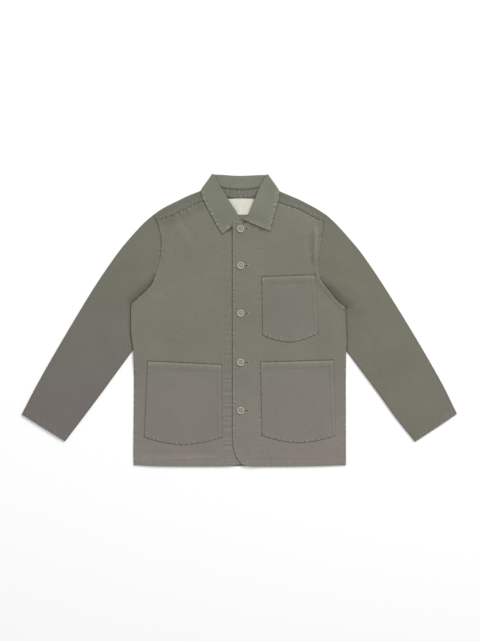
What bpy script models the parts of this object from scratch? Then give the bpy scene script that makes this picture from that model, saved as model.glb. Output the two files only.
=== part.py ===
"""A cotton canvas chore jacket, buttoned up and laid flat on its back.

Frame: metres, +Z up from the surface it lies on, +Y towards the collar, +X towards the wearer's left
sleeve, which is on the right seen from above. The origin is on that surface, in the middle of the
jacket's outline. Every size and table below is in millimetres.

Each piece is one sheet of cloth: rows of points between its cut edges, at the height where that layer
lies, given its wall by Solidify. The back lies on the surface, the fronts on the back, the pockets,
collar and buttons on the fronts. The two sleeves are flattened tubes tucked under the body's sides.
"""

import math
from collections import namedtuple

import bmesh
import bpy
from mathutils import Vector
from mathutils.bvhtree import BVHTree

MM = 0.001

# Cloth and layers
CLOTH = 1.2             # wall of one layer
CLEAR = 0.3             # gap between two layers that lie on each other
SEAM = 0.4              # gap between two pieces that are sewn edge to edge
LAYER = CLOTH + CLEAR   # from the middle of one layer to the middle of the next
FLOOR = CLOTH / 2       # middle of a layer that lies on the surface

# How far the layers stand off each other, and the stretches (start, end) over which they come to it
BODY_LOFT = 2.2         # air under the fronts, away from the seams
LOFT_REACH = 60.0       # distance from a side or shoulder fold over which the fronts rise
HEM_LOFT = 0.35         # share of the loft that is left at the hem
HEM_RISE = (-391.0, -300.0)
PLACKET_STEP = 1.7      # the left front over the right front's button edge
PLACKET_FADE = (26.0, 72.0)     # X, from the right front's hidden edge outwards
TAB_STEP = 1.8          # the left front's top corner over the right collar leaf
TAB_FADE = (2.0, 40.0)
TAB_RISE = (205.0, 252.0)
TUCK_LIFT = 3.4         # the body's sides over the sleeves tucked under them
TUCK_ACROSS = (205.0, 262.0)    # distance from the middle of the body
TUCK_RISE = (-165.0, -92.0)
TUCK_FADE = (54.0, 128.0)
SLEEVE_FOLD = 1.8       # extra height of a sleeve's folded edge away from the body
SLEEVE_CROWN = 1.0      # extra height along the middle of a sleeve
SLEEVE_RISE = (4.0, 58.0)       # distance from the body
SLEEVE_CORE_X = 380.0   # somewhere inside each sleeve, to tell its folded edges' outer side
COLLAR_ROLL = 3.2       # the leaf's rise from its free edge to its roll line
POCKET_LOFT = 0.7

CENTRE = 1.9            # X of the jacket's centre line

# Buttons
BUTTON_X = 3.6
BUTTON_ROWS = (246.2, 147.4, 18.9, -113.7, -243.3)      # Y, from the collar down
BUTTON_RADIUS = 9.5
BUTTON_SIDES = 16
Turned = namedtuple("Turned", "radius height")
BUTTON_PROFILE = (
    Turned(0.0, 2.0),
    Turned(5.6, 2.1),
    Turned(6.8, 3.0),
    Turned(8.6, 3.0),
    Turned(BUTTON_RADIUS, 2.1),
    Turned(BUTTON_RADIUS, 1.0),
    Turned(7.8, 0.0),
    Turned(0.0, 0.0),
)

Spot = namedtuple("Spot", "x y")
# One half of the jacket: its side of the centre line (-1 the wearer's right, +1 the left) and the lines
# that its pieces are cut to, each listed from the hem, the side or the centre as its name says.
Half = namedtuple(
    "Half", "word sign side armhole shoulder_tip shoulder forward_seam back_neck sleeve_outer tuck sleeve_inner"
)

RIGHT = Half(
    word="right",
    sign=-1,
    side=(Spot(-284.6, -391.0), Spot(-285.9, -350.0), Spot(-285.0, -270.0), Spot(-284.3, -160.0),
          Spot(-285.7, -86.0), Spot(-289.7, -53.5), Spot(-292.4, -26.5), Spot(-292.4, 27.5),
          Spot(-289.7, 43.7)),
    armhole=(Spot(-289.7, 43.7), Spot(-265.4, 65.3), Spot(-238.4, 92.3), Spot(-226.3, 122.0),
             Spot(-215.5, 157.0), Spot(-210.1, 195.0), Spot(-211.9, 227.3), Spot(-217.6, 257.0),
             Spot(-223.6, 269.2)),
    shoulder_tip=Spot(-232.5, 284.0),
    shoulder=(Spot(-97.2, 352.1), Spot(-113.1, 346.1), Spot(-139.6, 335.3), Spot(-162.0, 324.5),
              Spot(-204.9, 302.9), Spot(-232.5, 284.0)),
    forward_seam=(Spot(-80.5, 329.9), Spot(-107.5, 318.3), Spot(-143.9, 301.1), Spot(-187.1, 281.3),
                  Spot(-223.6, 269.2)),
    back_neck=(Spot(CENTRE, 336.4), Spot(-35.9, 340.7), Spot(-73.7, 348.0), Spot(-97.2, 352.1)),
    sleeve_outer=(Spot(-232.5, 284.0), Spot(-260.0, 259.7), Spot(-299.2, 216.5), Spot(-333.5, 173.3),
                  Spot(-392.3, 86.9), Spot(-470.6, -42.7), Spot(-541.9, -166.9), Spot(-587.2, -254.6)),
    tuck=(Spot(-289.7, 43.7), Spot(-280.3, 14.0), Spot(-276.8, -26.5), Spot(-277.6, -68.3)),
    sleeve_inner=(Spot(-277.6, -68.3), Spot(-326.2, -134.5), Spot(-373.7, -199.3),
                  Spot(-422.3, -264.1), Spot(-470.6, -327.3)),
)

LEFT = Half(
    word="left",
    sign=1,
    side=(Spot(287.8, -391.0), Spot(287.8, -296.5), Spot(287.6, -161.5), Spot(288.1, -86.0),
          Spot(290.0, -67.0), Spot(288.9, -26.5), Spot(286.7, 19.4), Spot(285.4, 34.3)),
    armhole=(Spot(285.4, 34.3), Spot(263.8, 51.8), Spot(242.2, 78.8), Spot(223.3, 103.1),
             Spot(213.8, 127.4), Spot(212.5, 157.1), Spot(216.5, 189.5), Spot(221.9, 221.9),
             Spot(225.5, 248.9), Spot(226.5, 265.1)),
    shoulder_tip=Spot(235.4, 284.0),
    shoulder=(Spot(99.1, 352.6), Spot(126.6, 340.7), Spot(152.6, 329.9), Spot(164.2, 324.5),
              Spot(205.5, 302.9), Spot(235.4, 284.0)),
    forward_seam=(Spot(83.2, 329.9), Spot(118.0, 313.7), Spot(155.8, 301.6), Spot(196.3, 281.3),
                  Spot(226.5, 265.1)),
    back_neck=(Spot(CENTRE, 336.4), Spot(38.6, 340.7), Spot(75.2, 348.3), Spot(99.1, 352.6)),
    sleeve_outer=(Spot(235.4, 284.0), Spot(261.4, 259.7), Spot(300.2, 216.5), Spot(335.1, 173.3),
                  Spot(393.4, 86.9), Spot(473.3, -42.7), Spot(544.9, -166.9), Spot(587.2, -252.7)),
    tuck=(Spot(285.4, 34.3), Spot(280.0, 11.3), Spot(278.1, -26.5), Spot(280.0, -71.0)),
    sleeve_inner=(Spot(280.0, -71.0), Spot(328.1, -134.5), Spot(376.4, -199.3),
                  Spot(423.1, -264.1), Spot(474.4, -327.5)),
)

# The fronts: hem and neck from the button edge outwards, and the button edge from the hem up
FRONT_RIGHT_HEM = (Spot(23.5, -388.0), Spot(0.0, -389.5), Spot(-30.0, -394.0), Spot(-120.0, -394.6),
                   Spot(-220.0, -394.0), Spot(-284.6, -391.0))
FRONT_RIGHT_EDGE = (Spot(23.5, -388.0), Spot(23.5, 255.7))
FRONT_RIGHT_NECK = (Spot(23.5, 255.7), Spot(-8.9, 257.6), Spot(-27.8, 263.8), Spot(-45.4, 275.9),
                    Spot(-61.6, 296.2), Spot(-72.4, 313.7), Spot(-80.5, 329.9))
FRONT_LEFT_HEM = (Spot(4.0, -385.6), Spot(12.0, -391.0), Spot(30.0, -394.2), Spot(67.0, -395.0),
                  Spot(180.0, -394.0), Spot(287.8, -391.0))
FRONT_LEFT_EDGE = (Spot(4.0, -385.6), Spot(-7.0, -371.0), Spot(-13.5, -352.0), Spot(-16.5, -335.0),
                   Spot(-17.8, -312.7), Spot(-18.0, 0.0), Spot(-18.4, 267.8))
FRONT_LEFT_NECK = (Spot(-18.4, 267.8), Spot(1.9, 267.8), Spot(16.7, 265.1), Spot(30.5, 266.0),
                   Spot(48.1, 275.9), Spot(64.3, 296.2), Spot(75.1, 313.7), Spot(83.2, 329.9))
BACK_HEM_DIP = 3.0      # the hem's middle below its side corners

# Collar leaf: its roll line and free edge, both from the front end round to the side of the neck
Leaf = namedtuple("Leaf", "roll free back_side_free")
LEAF_RIGHT = Leaf(
    roll=(Spot(1.9, 269.2), Spot(-8.9, 292.0), Spot(-19.7, 308.3), Spot(-30.5, 324.5),
          Spot(-46.7, 350.0), Spot(-60.2, 373.1), Spot(-69.7, 392.0)),
    free=(Spot(-45.4, 232.7), Spot(-60.2, 254.3), Spot(-79.1, 289.4), Spot(-93.5, 317.0),
          Spot(-101.5, 336.0), Spot(-102.6, 349.0)),
    back_side_free=Spot(-95.3, 357.4),
)
LEAF_LEFT = Leaf(
    roll=(Spot(10.0, 270.5), Spot(23.5, 281.3), Spot(32.0, 298.0), Spot(42.4, 324.5),
          Spot(51.8, 350.0), Spot(62.5, 371.0), Spot(74.0, 391.0)),
    free=(Spot(82.9, 239.5), Spot(89.6, 267.8), Spot(99.1, 302.9), Spot(105.0, 324.5),
          Spot(107.0, 338.0), Spot(106.6, 349.5)),
    back_side_free=Spot(98.0, 357.8),
)
LEAF_BACK_ROLL_Y = 388.6        # the roll line at the centre of the back
LEAF_BACK_FREE_Y = 340.2        # the free edge beneath it, just clear of the back's neck edge
STAND_TOP_Y = 351.5             # seam between leaf and stand at the centre of the back
STAND_LAP = 5.4                 # the stand's lower edge, lapped over the back's neck edge
LEAF_SIDE_SEAM = 0.42           # leaf seam and neck seam at the side, as fractions of the leaf's depth
LEAF_SIDE_NECK = 0.74
SIDE_RISE = 0.9                 # extra height at the side of the neck, over the shoulder seams
LEAF_CELLS = 8
LEAF_OUTER = (0.22, 0.44, 0.64, 0.82, 1.0)
BACK_CELLS = 4
STAND_START = 0.22              # where the hidden front end of the stand lies under the leaf
STAND_END = 0.99                # its folds at the side of the neck lie just inside the leaf's
STAND_BACK_START = 0.03
STAND_CELLS = 6
STAND_SEAM_GAP = 0.03

# Patch pockets: mouth, bottom edge and the bow of the bottom
Pocket = namedtuple("Pocket", "name half mouth_left mouth_right foot_left foot_right bow")
POCKETS = (
    Pocket("pocket_chest", LEFT, Spot(60.8, 115.8), Spot(203.0, 121.5), Spot(63.5, -40.0),
           Spot(212.5, -34.6), 21.0),
    Pocket("pocket_hip_right", RIGHT, Spot(-246.5, -111.0), Spot(-49.1, -120.5), Spot(-256.0, -314.5),
           Spot(-48.3, -315.4), 20.0),
    Pocket("pocket_hip_left", LEFT, Spot(57.8, -114.0), Spot(252.2, -108.3), Spot(61.5, -310.0),
           Spot(259.7, -310.0), 20.0),
)
POCKET_CELLS = 8
POCKET_FEEL = 6.0       # each pocket point clears the front this far round it

LABEL_TOP = 328.5
LABEL_FOOT = 284.0
LABEL_LEFT = -33.0
LABEL_RIGHT = 42.0
LABEL_CLOTH = 1.0

# Folds that stand in the cloth: a ridge (height over 0) or trough along a short straight line
Fold = namedtuple("Fold", "half start end width height")
FOLDS = (
    Fold(LEFT, Spot(206.0, 245.0), Spot(203.5, 152.0), 7.5, 2.2),
    Fold(LEFT, Spot(191.0, 240.0), Spot(194.0, 150.0), 8.0, -0.6),
    Fold(RIGHT, Spot(-178.0, 232.0), Spot(-184.0, 168.0), 12.0, -0.5),
    Fold(RIGHT, Spot(-230.0, 66.0), Spot(-170.0, -60.0), 26.0, 0.5),
)

# Spacing of the grids, as fractions. LOWER runs from hem to underarm, ARM from underarm to forward
# seam, and the others from the centre or button edge to the side.
LOWER = (0.0, 0.035, 0.08, 0.17, 0.28, 0.38, 0.47, 0.54, 0.60, 0.655, 0.71, 0.78, 0.85, 0.92, 1.0)
ARM = (0.0, 0.10, 0.20, 0.30, 0.41, 0.53, 0.65, 0.77, 0.89, 1.0)
ARM_BEND = 4            # index in ARM where the armhole turns from the chest up to the shoulder
BACK_HEM = (0.0, 0.18, 0.36, 0.56, 0.73, 0.83, 0.88, 0.92, 0.958, 1.0)
BACK_NECK_CELLS = 2
FRONT_HEM = (0.0, 0.06, 0.13, 0.26, 0.38, 0.50, 0.62, 0.75, 0.845, 0.89, 0.925, 0.96, 1.0)
FRONT_NECK_CELLS = 5
SHOULDER = (0.0, 0.34, 0.60, 0.77, 0.855, 0.91, 0.955, 1.0)
SLEEVE_FIRST = (0.0, 0.07, 0.145, 0.22, 0.30)       # outer edge, while the inner edge follows the armhole
SLEEVE_TUCKED = (0.355, 0.41, 0.465)                # outer edge, while the inner edge is tucked
SLEEVE_FREE = (0.54, 0.62, 0.70, 0.78, 0.86, 0.935, 1.0)
SLEEVE_LEAVES_Y = -86.0 # below this Y the sleeve is clear of the body's side
TURN_CELLS = 3          # round a folded edge


def smooth(value, start, end):
    """0 before start, 1 after end, and a soft step between."""
    part = min(max((value - start) / (end - start), 0.0), 1.0)
    return part * part * (3.0 - 2.0 * part)


def between(first, second, part):
    return first + (second - first) * part


class Line:
    """A smooth line through a few spots, read by the fraction of its length."""

    STEPS = 24

    def __init__(self, spots):
        points = [Vector(spot) for spot in spots]
        ends = [2 * points[0] - points[1], *points, 2 * points[-1] - points[-2]]
        self.points = [points[0]]
        for a, b, c, d in zip(ends, ends[1:], ends[2:], ends[3:]):
            for step in range(1, self.STEPS + 1):
                t = step / self.STEPS
                bend = (2 * a - 5 * b + 4 * c - d) * t * t + (3 * b - a - 3 * c + d) * t ** 3
                self.points.append(0.5 * (2 * b + (c - a) * t + bend))
        self.reach = [0.0]
        for a, b in zip(self.points, self.points[1:]):
            self.reach.append(self.reach[-1] + (b - a).length)

    def at(self, fraction):
        goal = fraction * self.reach[-1]
        for k in range(1, len(self.points)):
            if self.reach[k] >= goal - 1e-9:
                span = self.reach[k] - self.reach[k - 1]
                return between(self.points[k - 1], self.points[k], (goal - self.reach[k - 1]) / span)
        return self.points[-1]

    def x_at(self, y):
        """X where the line, which only rises, is at this height in the picture."""
        for a, b in zip(self.points, self.points[1:]):
            if min(a.y, b.y) <= y <= max(a.y, b.y) and a.y != b.y:
                return between(a.x, b.x, (y - a.y) / (b.y - a.y))
        return self.points[-1].x if y > max(p.y for p in self.points) else self.points[0].x

    def y_at(self, x):
        """Y where the line, which runs one way in X, is above or below this X."""
        for a, b in zip(self.points, self.points[1:]):
            if min(a.x, b.x) <= x <= max(a.x, b.x) and a.x != b.x:
                return between(a.y, b.y, (x - a.x) / (b.x - a.x))
        nearest = min((self.points[0], self.points[-1]), key=lambda p: abs(p.x - x))
        return nearest.y


SIDE_LINE = {half.word: Line(half.side) for half in (RIGHT, LEFT)}
ARM_LINE = {half.word: Line(half.armhole) for half in (RIGHT, LEFT)}
SHOULDER_LINE = {half.word: Line(half.shoulder) for half in (RIGHT, LEFT)}


def half_at(x):
    return RIGHT if x < CENTRE else LEFT


def body_edge(half, y):
    """X of the body's side or armhole at this Y."""
    line = SIDE_LINE if y < half.armhole[0].y else ARM_LINE
    return line[half.word].x_at(y)


def tuck_lift(x, y):
    """How far the body lies above the surface, where a sleeve is tucked under its side."""
    across = smooth(abs(x), *TUCK_ACROSS)
    along = smooth(y, *TUCK_RISE) * (1.0 - smooth(y, *TUCK_FADE))
    return TUCK_LIFT * across * along


def body_loft(x, y):
    """Air between back and front, which closes at the sides, the shoulders and, partly, the hem."""
    half = half_at(x)
    from_side = abs(body_edge(half, y)) - abs(x)
    from_shoulder = SHOULDER_LINE[half.word].y_at(x) - y
    hem = between(HEM_LOFT, 1.0, smooth(y, *HEM_RISE))
    sides = smooth(from_side, 0.0, LOFT_REACH) * smooth(from_shoulder, 0.0, LOFT_REACH)
    return BODY_LOFT * sides * hem


def fold_height(x, y):
    """The folds that stand in the fronts."""
    total = 0.0
    for fold in FOLDS:
        if fold.half is not half_at(x):
            continue
        start, end = Vector(fold.start), Vector(fold.end)
        along = (Vector((x, y)) - start).dot(end - start) / (end - start).length_squared
        near = start + (end - start) * min(max(along, 0.0), 1.0)
        ends = smooth(along, -0.18, 0.15) * (1.0 - smooth(along, 0.85, 1.18))
        off = (Vector((x, y)) - near).length / fold.width
        total += fold.height * ends * math.exp(-off * off)
    return total


def back_height(x, y):
    return FLOOR + tuck_lift(x, y)


def right_front_height(x, y):
    return back_height(x, y) + LAYER + body_loft(x, y) + fold_height(x, y) * (half_at(x) is RIGHT)


def left_front_height(x, y):
    """The left front lies over the right front's button edge, and its corner over the collar."""
    step = PLACKET_STEP * (1.0 - smooth(x, *PLACKET_FADE))
    tab = TAB_STEP * (1.0 - smooth(x, *TAB_FADE)) * smooth(y, *TAB_RISE)
    ridge = fold_height(x, y) * (half_at(x) is LEFT)
    return back_height(x, y) + LAYER + body_loft(x, y) + step + tab + ridge


def front_height(half, x, y):
    return right_front_height(x, y) if half is RIGHT else left_front_height(x, y)


def patch(us, vs, bottom, top, left, right):
    """Rows of plan points between four edges; us and vs are the spacing, 0 to 1, across and up."""
    rows = []
    for j, v in enumerate(vs):
        row = []
        for i, u in enumerate(us):
            sides = between(left[j], right[j], u)
            ends = between(bottom[i], top[i], v)
            corners = between(between(bottom[0], bottom[-1], u), between(top[0], top[-1], u), v)
            row.append(sides + ends - corners)
        rows.append(row)
    return rows


def raise_rows(rows, height):
    """Plan rows lifted to the height that a function of X and Y gives."""
    return [[Vector((p.x, p.y, height(p.x, p.y))) for p in row] for row in rows]


def turn(lower, upper, outward):
    """Points round a folded edge, from a lower layer's edge to the one above it, both included."""
    radius = abs(upper.z - lower.z) / 2.0
    points = []
    for k in range(TURN_CELLS + 1):
        angle = math.pi * k / TURN_CELLS
        point = between(lower, upper, (1.0 - math.cos(angle)) / 2.0)
        points.append(point + outward * radius * math.sin(angle))
    return points


def outward_normals(points, away_from):
    """A level unit vector at each point of a folded edge, square to it and away from a spot."""
    normals = []
    for k, point in enumerate(points):
        ahead = points[min(k + 1, len(points) - 1)] - points[max(k - 1, 0)]
        side = Vector((ahead.y, -ahead.x, 0.0)).normalized()
        away = Vector((point.x - away_from.x, point.y - away_from.y, 0.0))
        normals.append(side if side.dot(away) > 0.0 else -side)
    return normals


def cloth_material(name, hex_colour, roughness=0.9):
    """Plain cloth or button colour, from sRGB hex."""
    material = bpy.data.materials.new(name)
    material.use_nodes = True
    shader = material.node_tree.nodes["Principled BSDF"]
    channels = [int(hex_colour[k:k + 2], 16) / 255.0 for k in (1, 3, 5)]
    linear = [c / 12.92 if c <= 0.04045 else ((c + 0.055) / 1.055) ** 2.4 for c in channels]
    shader.inputs["Base Color"].default_value = (*linear, 1.0)
    shader.inputs["Roughness"].default_value = roughness
    shader.inputs["Metallic"].default_value = 0.0
    material.diffuse_color = (*linear, 1.0)
    return material


def add_object(name, mesh, hex_colour, roughness=0.9):
    mesh.materials.append(cloth_material(name, hex_colour, roughness))
    piece = bpy.data.objects.new(name, mesh)
    bpy.data.collections["Chore jacket"].objects.link(piece)
    return piece


def sheet(name, grids, hex_colour, wall=CLOTH):
    """One piece of cloth from grids of points in millimetres that share their edges."""
    work = bmesh.new()
    for rows in grids:
        made = [[work.verts.new(point * MM) for point in row] for row in rows]
        for low, high in zip(made, made[1:]):
            for a, b, c, d in zip(low, low[1:], high[1:], high):
                work.faces.new((a, b, c))
                work.faces.new((a, c, d))
    bmesh.ops.remove_doubles(work, verts=work.verts, dist=0.02 * MM)
    bmesh.ops.recalc_face_normals(work, faces=work.faces)
    mesh = bpy.data.meshes.new(name)
    work.to_mesh(mesh)
    work.free()
    mesh.shade_smooth()
    piece = add_object(name, mesh, hex_colour)
    thick = piece.modifiers.new("wall", "SOLIDIFY")
    thick.thickness = wall * MM
    thick.offset = 0.0
    return piece


def side_rows(half):
    """Plan points up the body's side and armhole, to the forward shoulder seam, and their fractions."""
    side, arm = SIDE_LINE[half.word], ARM_LINE[half.word]
    low, high = half.side[0].y, half.side[-1].y
    points = [Vector((side.x_at(between(low, high, f)), between(low, high, f))) for f in LOWER]
    points[0], points[-1] = Vector(half.side[0]), Vector(half.armhole[0])
    points += [arm.at(f) for f in ARM[1:]]
    return points


def rise(points):
    """Each point's Y as a fraction of the way from the first to the last."""
    return [(p.y - points[0].y) / (points[-1].y - points[0].y) for p in points]


def shift_inward(points, away_from, distance):
    """Points of a folded edge moved in from the outline, to where the flat layers end."""
    flat = [Vector((p.x, p.y, 0.0)) for p in points]
    normals = outward_normals(flat, away_from)
    return [(p - n * distance).to_2d() for p, n in zip(flat, normals)]


def make_back():
    """The back: flat panel, turned over both shoulders down to the forward seams."""
    grids = []
    inset = LAYER / 2.0 + CLOTH / 2.0
    middle = Vector((CENTRE, 0.0, 0.0))
    edges = {half.word: side_rows(half) + [Vector(half.shoulder_tip)] for half in (RIGHT, LEFT)}
    centre_vs = [between(a, b, 0.5) for a, b in zip(rise(edges["right"]), rise(edges["left"]))]
    for half in (RIGHT, LEFT):
        right = edges[half.word]
        vs = rise(right)
        corner = Vector(half.side[0])
        centre_hem = Vector((CENTRE, corner.y - BACK_HEM_DIP))
        bottom = []
        for f in BACK_HEM:
            dip = BACK_HEM_DIP * (1.0 - f ** 3)
            bottom.append(Vector((between(CENTRE, corner.x, f), corner.y - dip)))
        neck, shoulder = Line(half.back_neck), Line(half.shoulder)
        outline = [shoulder.at(f) for f in SHOULDER]
        fold = shift_inward(outline, middle, inset)
        top = [neck.at(k / BACK_NECK_CELLS) for k in range(BACK_NECK_CELLS)] + fold
        right[-1] = fold[-1]
        left = [Vector((CENTRE, between(centre_hem.y, top[0].y, v))) for v in centre_vs]
        rows = raise_rows(patch(BACK_HEM, vs, bottom, top, left, right), back_height)
        grids.append(rows)
        # over the shoulder: round the fold, then down to the forward seam
        lower = rows[-1][BACK_NECK_CELLS:]
        normals = outward_normals(lower, middle)
        turned = [turn(p, p + Vector((0.0, 0.0, LAYER)), n) for p, n in zip(lower, normals)]
        grids.append([list(points) for points in zip(*turned)])
        seam = Line(half.forward_seam)
        upper = [points[-1] for points in turned]
        strip = [upper]
        for part in (0.5, 1.0):
            row = []
            for f, start in zip(SHOULDER, upper):
                goal = seam.at(f) + Vector((0.0, SEAM))
                plan = between(start.to_2d(), goal, part)
                row.append(Vector((plan.x, plan.y, right_front_base(plan.x, plan.y))))
            strip.append(row)
        grids.append(strip)
    return sheet("back", grids, "#7B7A6C")


def right_front_base(x, y):
    """Height of the upper layer at the shoulders, without folds."""
    return back_height(x, y) + LAYER + body_loft(x, y)


def make_front(half, hem, edge, neck):
    """A front: from its button edge to the side and armhole, up to the neck and forward seam."""
    side = side_rows(half)
    vs = rise(side)
    hem_line, edge_line, neck_line = Line(hem), Line(edge), Line(neck)
    seam = Line(half.forward_seam)
    bottom = [hem_line.at(f) for f in FRONT_HEM]
    top = [neck_line.at(k / FRONT_NECK_CELLS) for k in range(FRONT_NECK_CELLS)]
    top += [seam.at(f) for f in SHOULDER]
    low, high = edge[0].y, edge[-1].y
    left = [Vector((edge_line.x_at(between(low, high, v)), between(low, high, v))) for v in vs]
    left[0], left[-1] = Vector(edge[0]), Vector(edge[-1])
    plan = patch(FRONT_HEM, vs, bottom, top, left, side)
    rows = raise_rows(plan, lambda x, y: front_height(half, x, y))
    return sheet("front_" + half.word, [rows], "#7A796B")


def contact_gap(half, x, y):
    """Level distance of a sleeve's point from the body's armhole and side; 0 under the body."""
    if SLEEVE_LEAVES_Y < y < half.armhole[-1].y and abs(x) < abs(body_edge(half, y)):
        return 0.0
    spots = ARM_LINE[half.word].points + [Vector(half.shoulder_tip)]
    spots += [p for p in SIDE_LINE[half.word].points if p.y > SLEEVE_LEAVES_Y]
    return min((p - Vector((x, y))).length for p in spots)


def sleeve_rise(half, x, y):
    """0 where the sleeve is pressed flat beside or under the body, 1 where it is free of it."""
    return smooth(contact_gap(half, x, y), *SLEEVE_RISE)


def edge_radius(half, point):
    """Radius of a sleeve's folded edge at a plan point, to the middle of the wall."""
    return (LAYER + sleeve_rise(half, point.x, point.y) * SLEEVE_FOLD) / 2.0


def fold_grid(lower, upper, away_from):
    """The rounded edge that joins two layers along a fold."""
    normals = outward_normals(lower, away_from)
    return [turn(a, b, n) for a, b, n in zip(lower, upper, normals)]


def inside_fold(half, points, core):
    """Where the flat layers of a sleeve end, inside its folded outline."""
    ends = []
    for start, goal in zip(points, shift_inward(points, core, 1.0)):
        ends.append(start + (goal - start) * (edge_radius(half, start) + CLOTH / 2.0))
    return ends


def sleeve_plan(half):
    """Plan rows of a sleeve from its outer to its inner edge, and how far across each column lies."""
    arm = [ARM_LINE[half.word].at(f) for f in ARM] + [Vector(half.shoulder_tip)]
    flat = [Vector((p.x, p.y, 0.0)) for p in arm]
    seam = [p + n.to_2d() * SEAM for p, n in zip(arm, outward_normals(flat, Vector((0.0, 0.0, 0.0))))]
    core = Vector((half.sign * SLEEVE_CORE_X, 0.0, 0.0))
    outer, tuck, inner = Line(half.sleeve_outer), Line(half.tuck), Line(half.sleeve_inner)
    along = SLEEVE_FIRST + SLEEVE_TUCKED + SLEEVE_FREE
    left = [seam[-1]] + [outer.at(f) for f in along[1:]]
    left = inside_fold(half, left, core)
    armhole = list(reversed(seam[:ARM_BEND + 1]))
    tucked = [tuck.at(k / len(SLEEVE_TUCKED)) for k in range(1, len(SLEEVE_TUCKED) + 1)]
    free = [inner.at((k + 1) / len(SLEEVE_FREE)) for k in range(len(SLEEVE_FREE))]
    right = armhole[:-1] + inside_fold(half, [armhole[-1]] + tucked + free, core)
    across = [left[0]] + list(reversed(seam[ARM_BEND:-1]))
    us = [0.0]
    for a, b in zip(across, across[1:]):
        us.append(us[-1] + (b - a).length)
    us = [u / us[-1] for u in us]
    rows = []
    for f, a, b in zip(along, left, right):
        curved = max(0.0, 1.0 - f / SLEEVE_FIRST[-1])
        row = []
        for u, spot in zip(us, across):
            bulge = spot - between(across[0], across[-1], u)
            row.append(between(a, b, u) + bulge * curved)
        rows.append(row)
    return rows, us, core


def make_sleeve(half):
    """A sleeve: a flattened tube from the armhole, tucked under the body's side, to the cuff."""
    plan, us, core = sleeve_plan(half)
    upper, lower = [], []
    for row in plan:
        upper.append([])
        lower.append([])
        for u, p in zip(us, row):
            height = SLEEVE_FOLD + SLEEVE_CROWN * math.sin(math.pi * u)
            height = FLOOR + LAYER + sleeve_rise(half, p.x, p.y) * height
            lower[-1].append(Vector((p.x, p.y, FLOOR)))
            upper[-1].append(Vector((p.x, p.y, height)))
    outer_fold = fold_grid([row[0] for row in lower], [row[0] for row in upper], core)
    inner_fold = fold_grid([row[-1] for row in lower][ARM_BEND:],
                           [row[-1] for row in upper][ARM_BEND:], core)
    return sheet("sleeve_" + half.word, [lower, upper, outer_fold, inner_fold], "#757367")


def leaf_inner_depth(t):
    """Depth of the leaf's hidden inner part at fraction t from the front end to the neck's side."""
    return between(0.10, LEAF_SIDE_SEAM, smooth(t, 0.0, 0.9))


def stand_neck_depth(t):
    """Depth of the neck seam below the roll line, as a fraction of the leaf's."""
    return between(0.62, LEAF_SIDE_NECK, smooth(t, 0.5, 1.0))


def leaf_height(half, t, d, point):
    """Middle of the visible leaf: on the front at its free edge, up on the stand at its roll."""
    base = front_height(half, point.x, point.y) + LAYER
    over_stand = LAYER * (1.0 - smooth(d, stand_neck_depth(t), 1.0)) * smooth(t, 0.05, 0.25)
    roll = COLLAR_ROLL * smooth(t, 0.0, 0.35) * (1.0 - d) ** 1.5
    return base + over_stand + roll + SIDE_RISE * smooth(t, 0.6, 1.0) * d


def level(x, y):
    return Vector((x, y, 0.0))


def leaf_column(half, leaf, t):
    """Points of the leaf across its depth at t: inner part, roll, then out to the free edge."""
    roll, free = Line(leaf.roll).at(t), Line(leaf.free).at(t)
    out = (free - roll).normalized()

    def place(d, drop):
        plan = between(roll, free, d)
        return Vector((plan.x, plan.y, leaf_height(half, t, d, plan) - drop))

    inner = [place(leaf_inner_depth(t) * part, LAYER) for part in (1.0, 0.5, 0.0)]
    outer = [place(d, 0.0) for d in (0.0,) + LEAF_OUTER]
    rolled = turn(inner[-1], outer[0], level(-out.x, -out.y))
    return inner[:-1] + rolled + outer[1:]


def back_of_collar(half, leaf, part):
    """Roll, free edge, leaf seam and neck seam round the back, from the side (0) to the centre (1)."""
    side_roll, side_free = Vector(leaf.roll[-1]), Vector(leaf.back_side_free)
    turned_in = smooth(part, 0.0, 0.6)
    roll = Vector((between(side_roll.x, CENTRE, part),
                   between(side_roll.y, LEAF_BACK_ROLL_Y, smooth(part, 0.0, 1.0))))
    free = Vector((between(side_free.x, CENTRE, part),
                   between(side_free.y, LEAF_BACK_FREE_Y, 1.0 - (1.0 - part) ** 1.6)))
    centre_seam = (LEAF_BACK_ROLL_Y - STAND_TOP_Y) / (LEAF_BACK_ROLL_Y - LEAF_BACK_FREE_Y)
    seam = between(roll, free, between(LEAF_SIDE_SEAM, centre_seam, turned_in))
    side_neck = between(side_roll, Vector(leaf.free[-1]), LEAF_SIDE_NECK)
    on_back = Line(half.back_neck).at(1.0 - part) - Vector((0.0, STAND_LAP))
    return roll, free, seam, between(side_neck, on_back, min(part * BACK_CELLS, 1.0))


def back_leaf_column(half, leaf, part):
    """The same points of the leaf as leaf_column, round the back of the neck."""
    roll, free, seam, _ = back_of_collar(half, leaf, part)
    out = (free - roll).normalized()
    inner = [Vector((*between(seam, roll, k), FLOOR + LAYER)) for k in (0.0, 0.5, 1.0)]
    outer = [Vector((*between(roll, free, d), FLOOR)) for d in (0.0,) + LEAF_OUTER]
    rolled = turn(outer[0], inner[-1], level(-out.x, -out.y))
    return inner[:-1] + rolled[::-1] + outer[1:]


def neck_side(half, leaf):
    """Level unit vector square to the collar's fold at the side of the neck, away from the neck."""
    fold = Vector(leaf.free[-1]) - Vector(leaf.roll[-1])
    return level(-fold.y, fold.x).normalized() * half.sign


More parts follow.
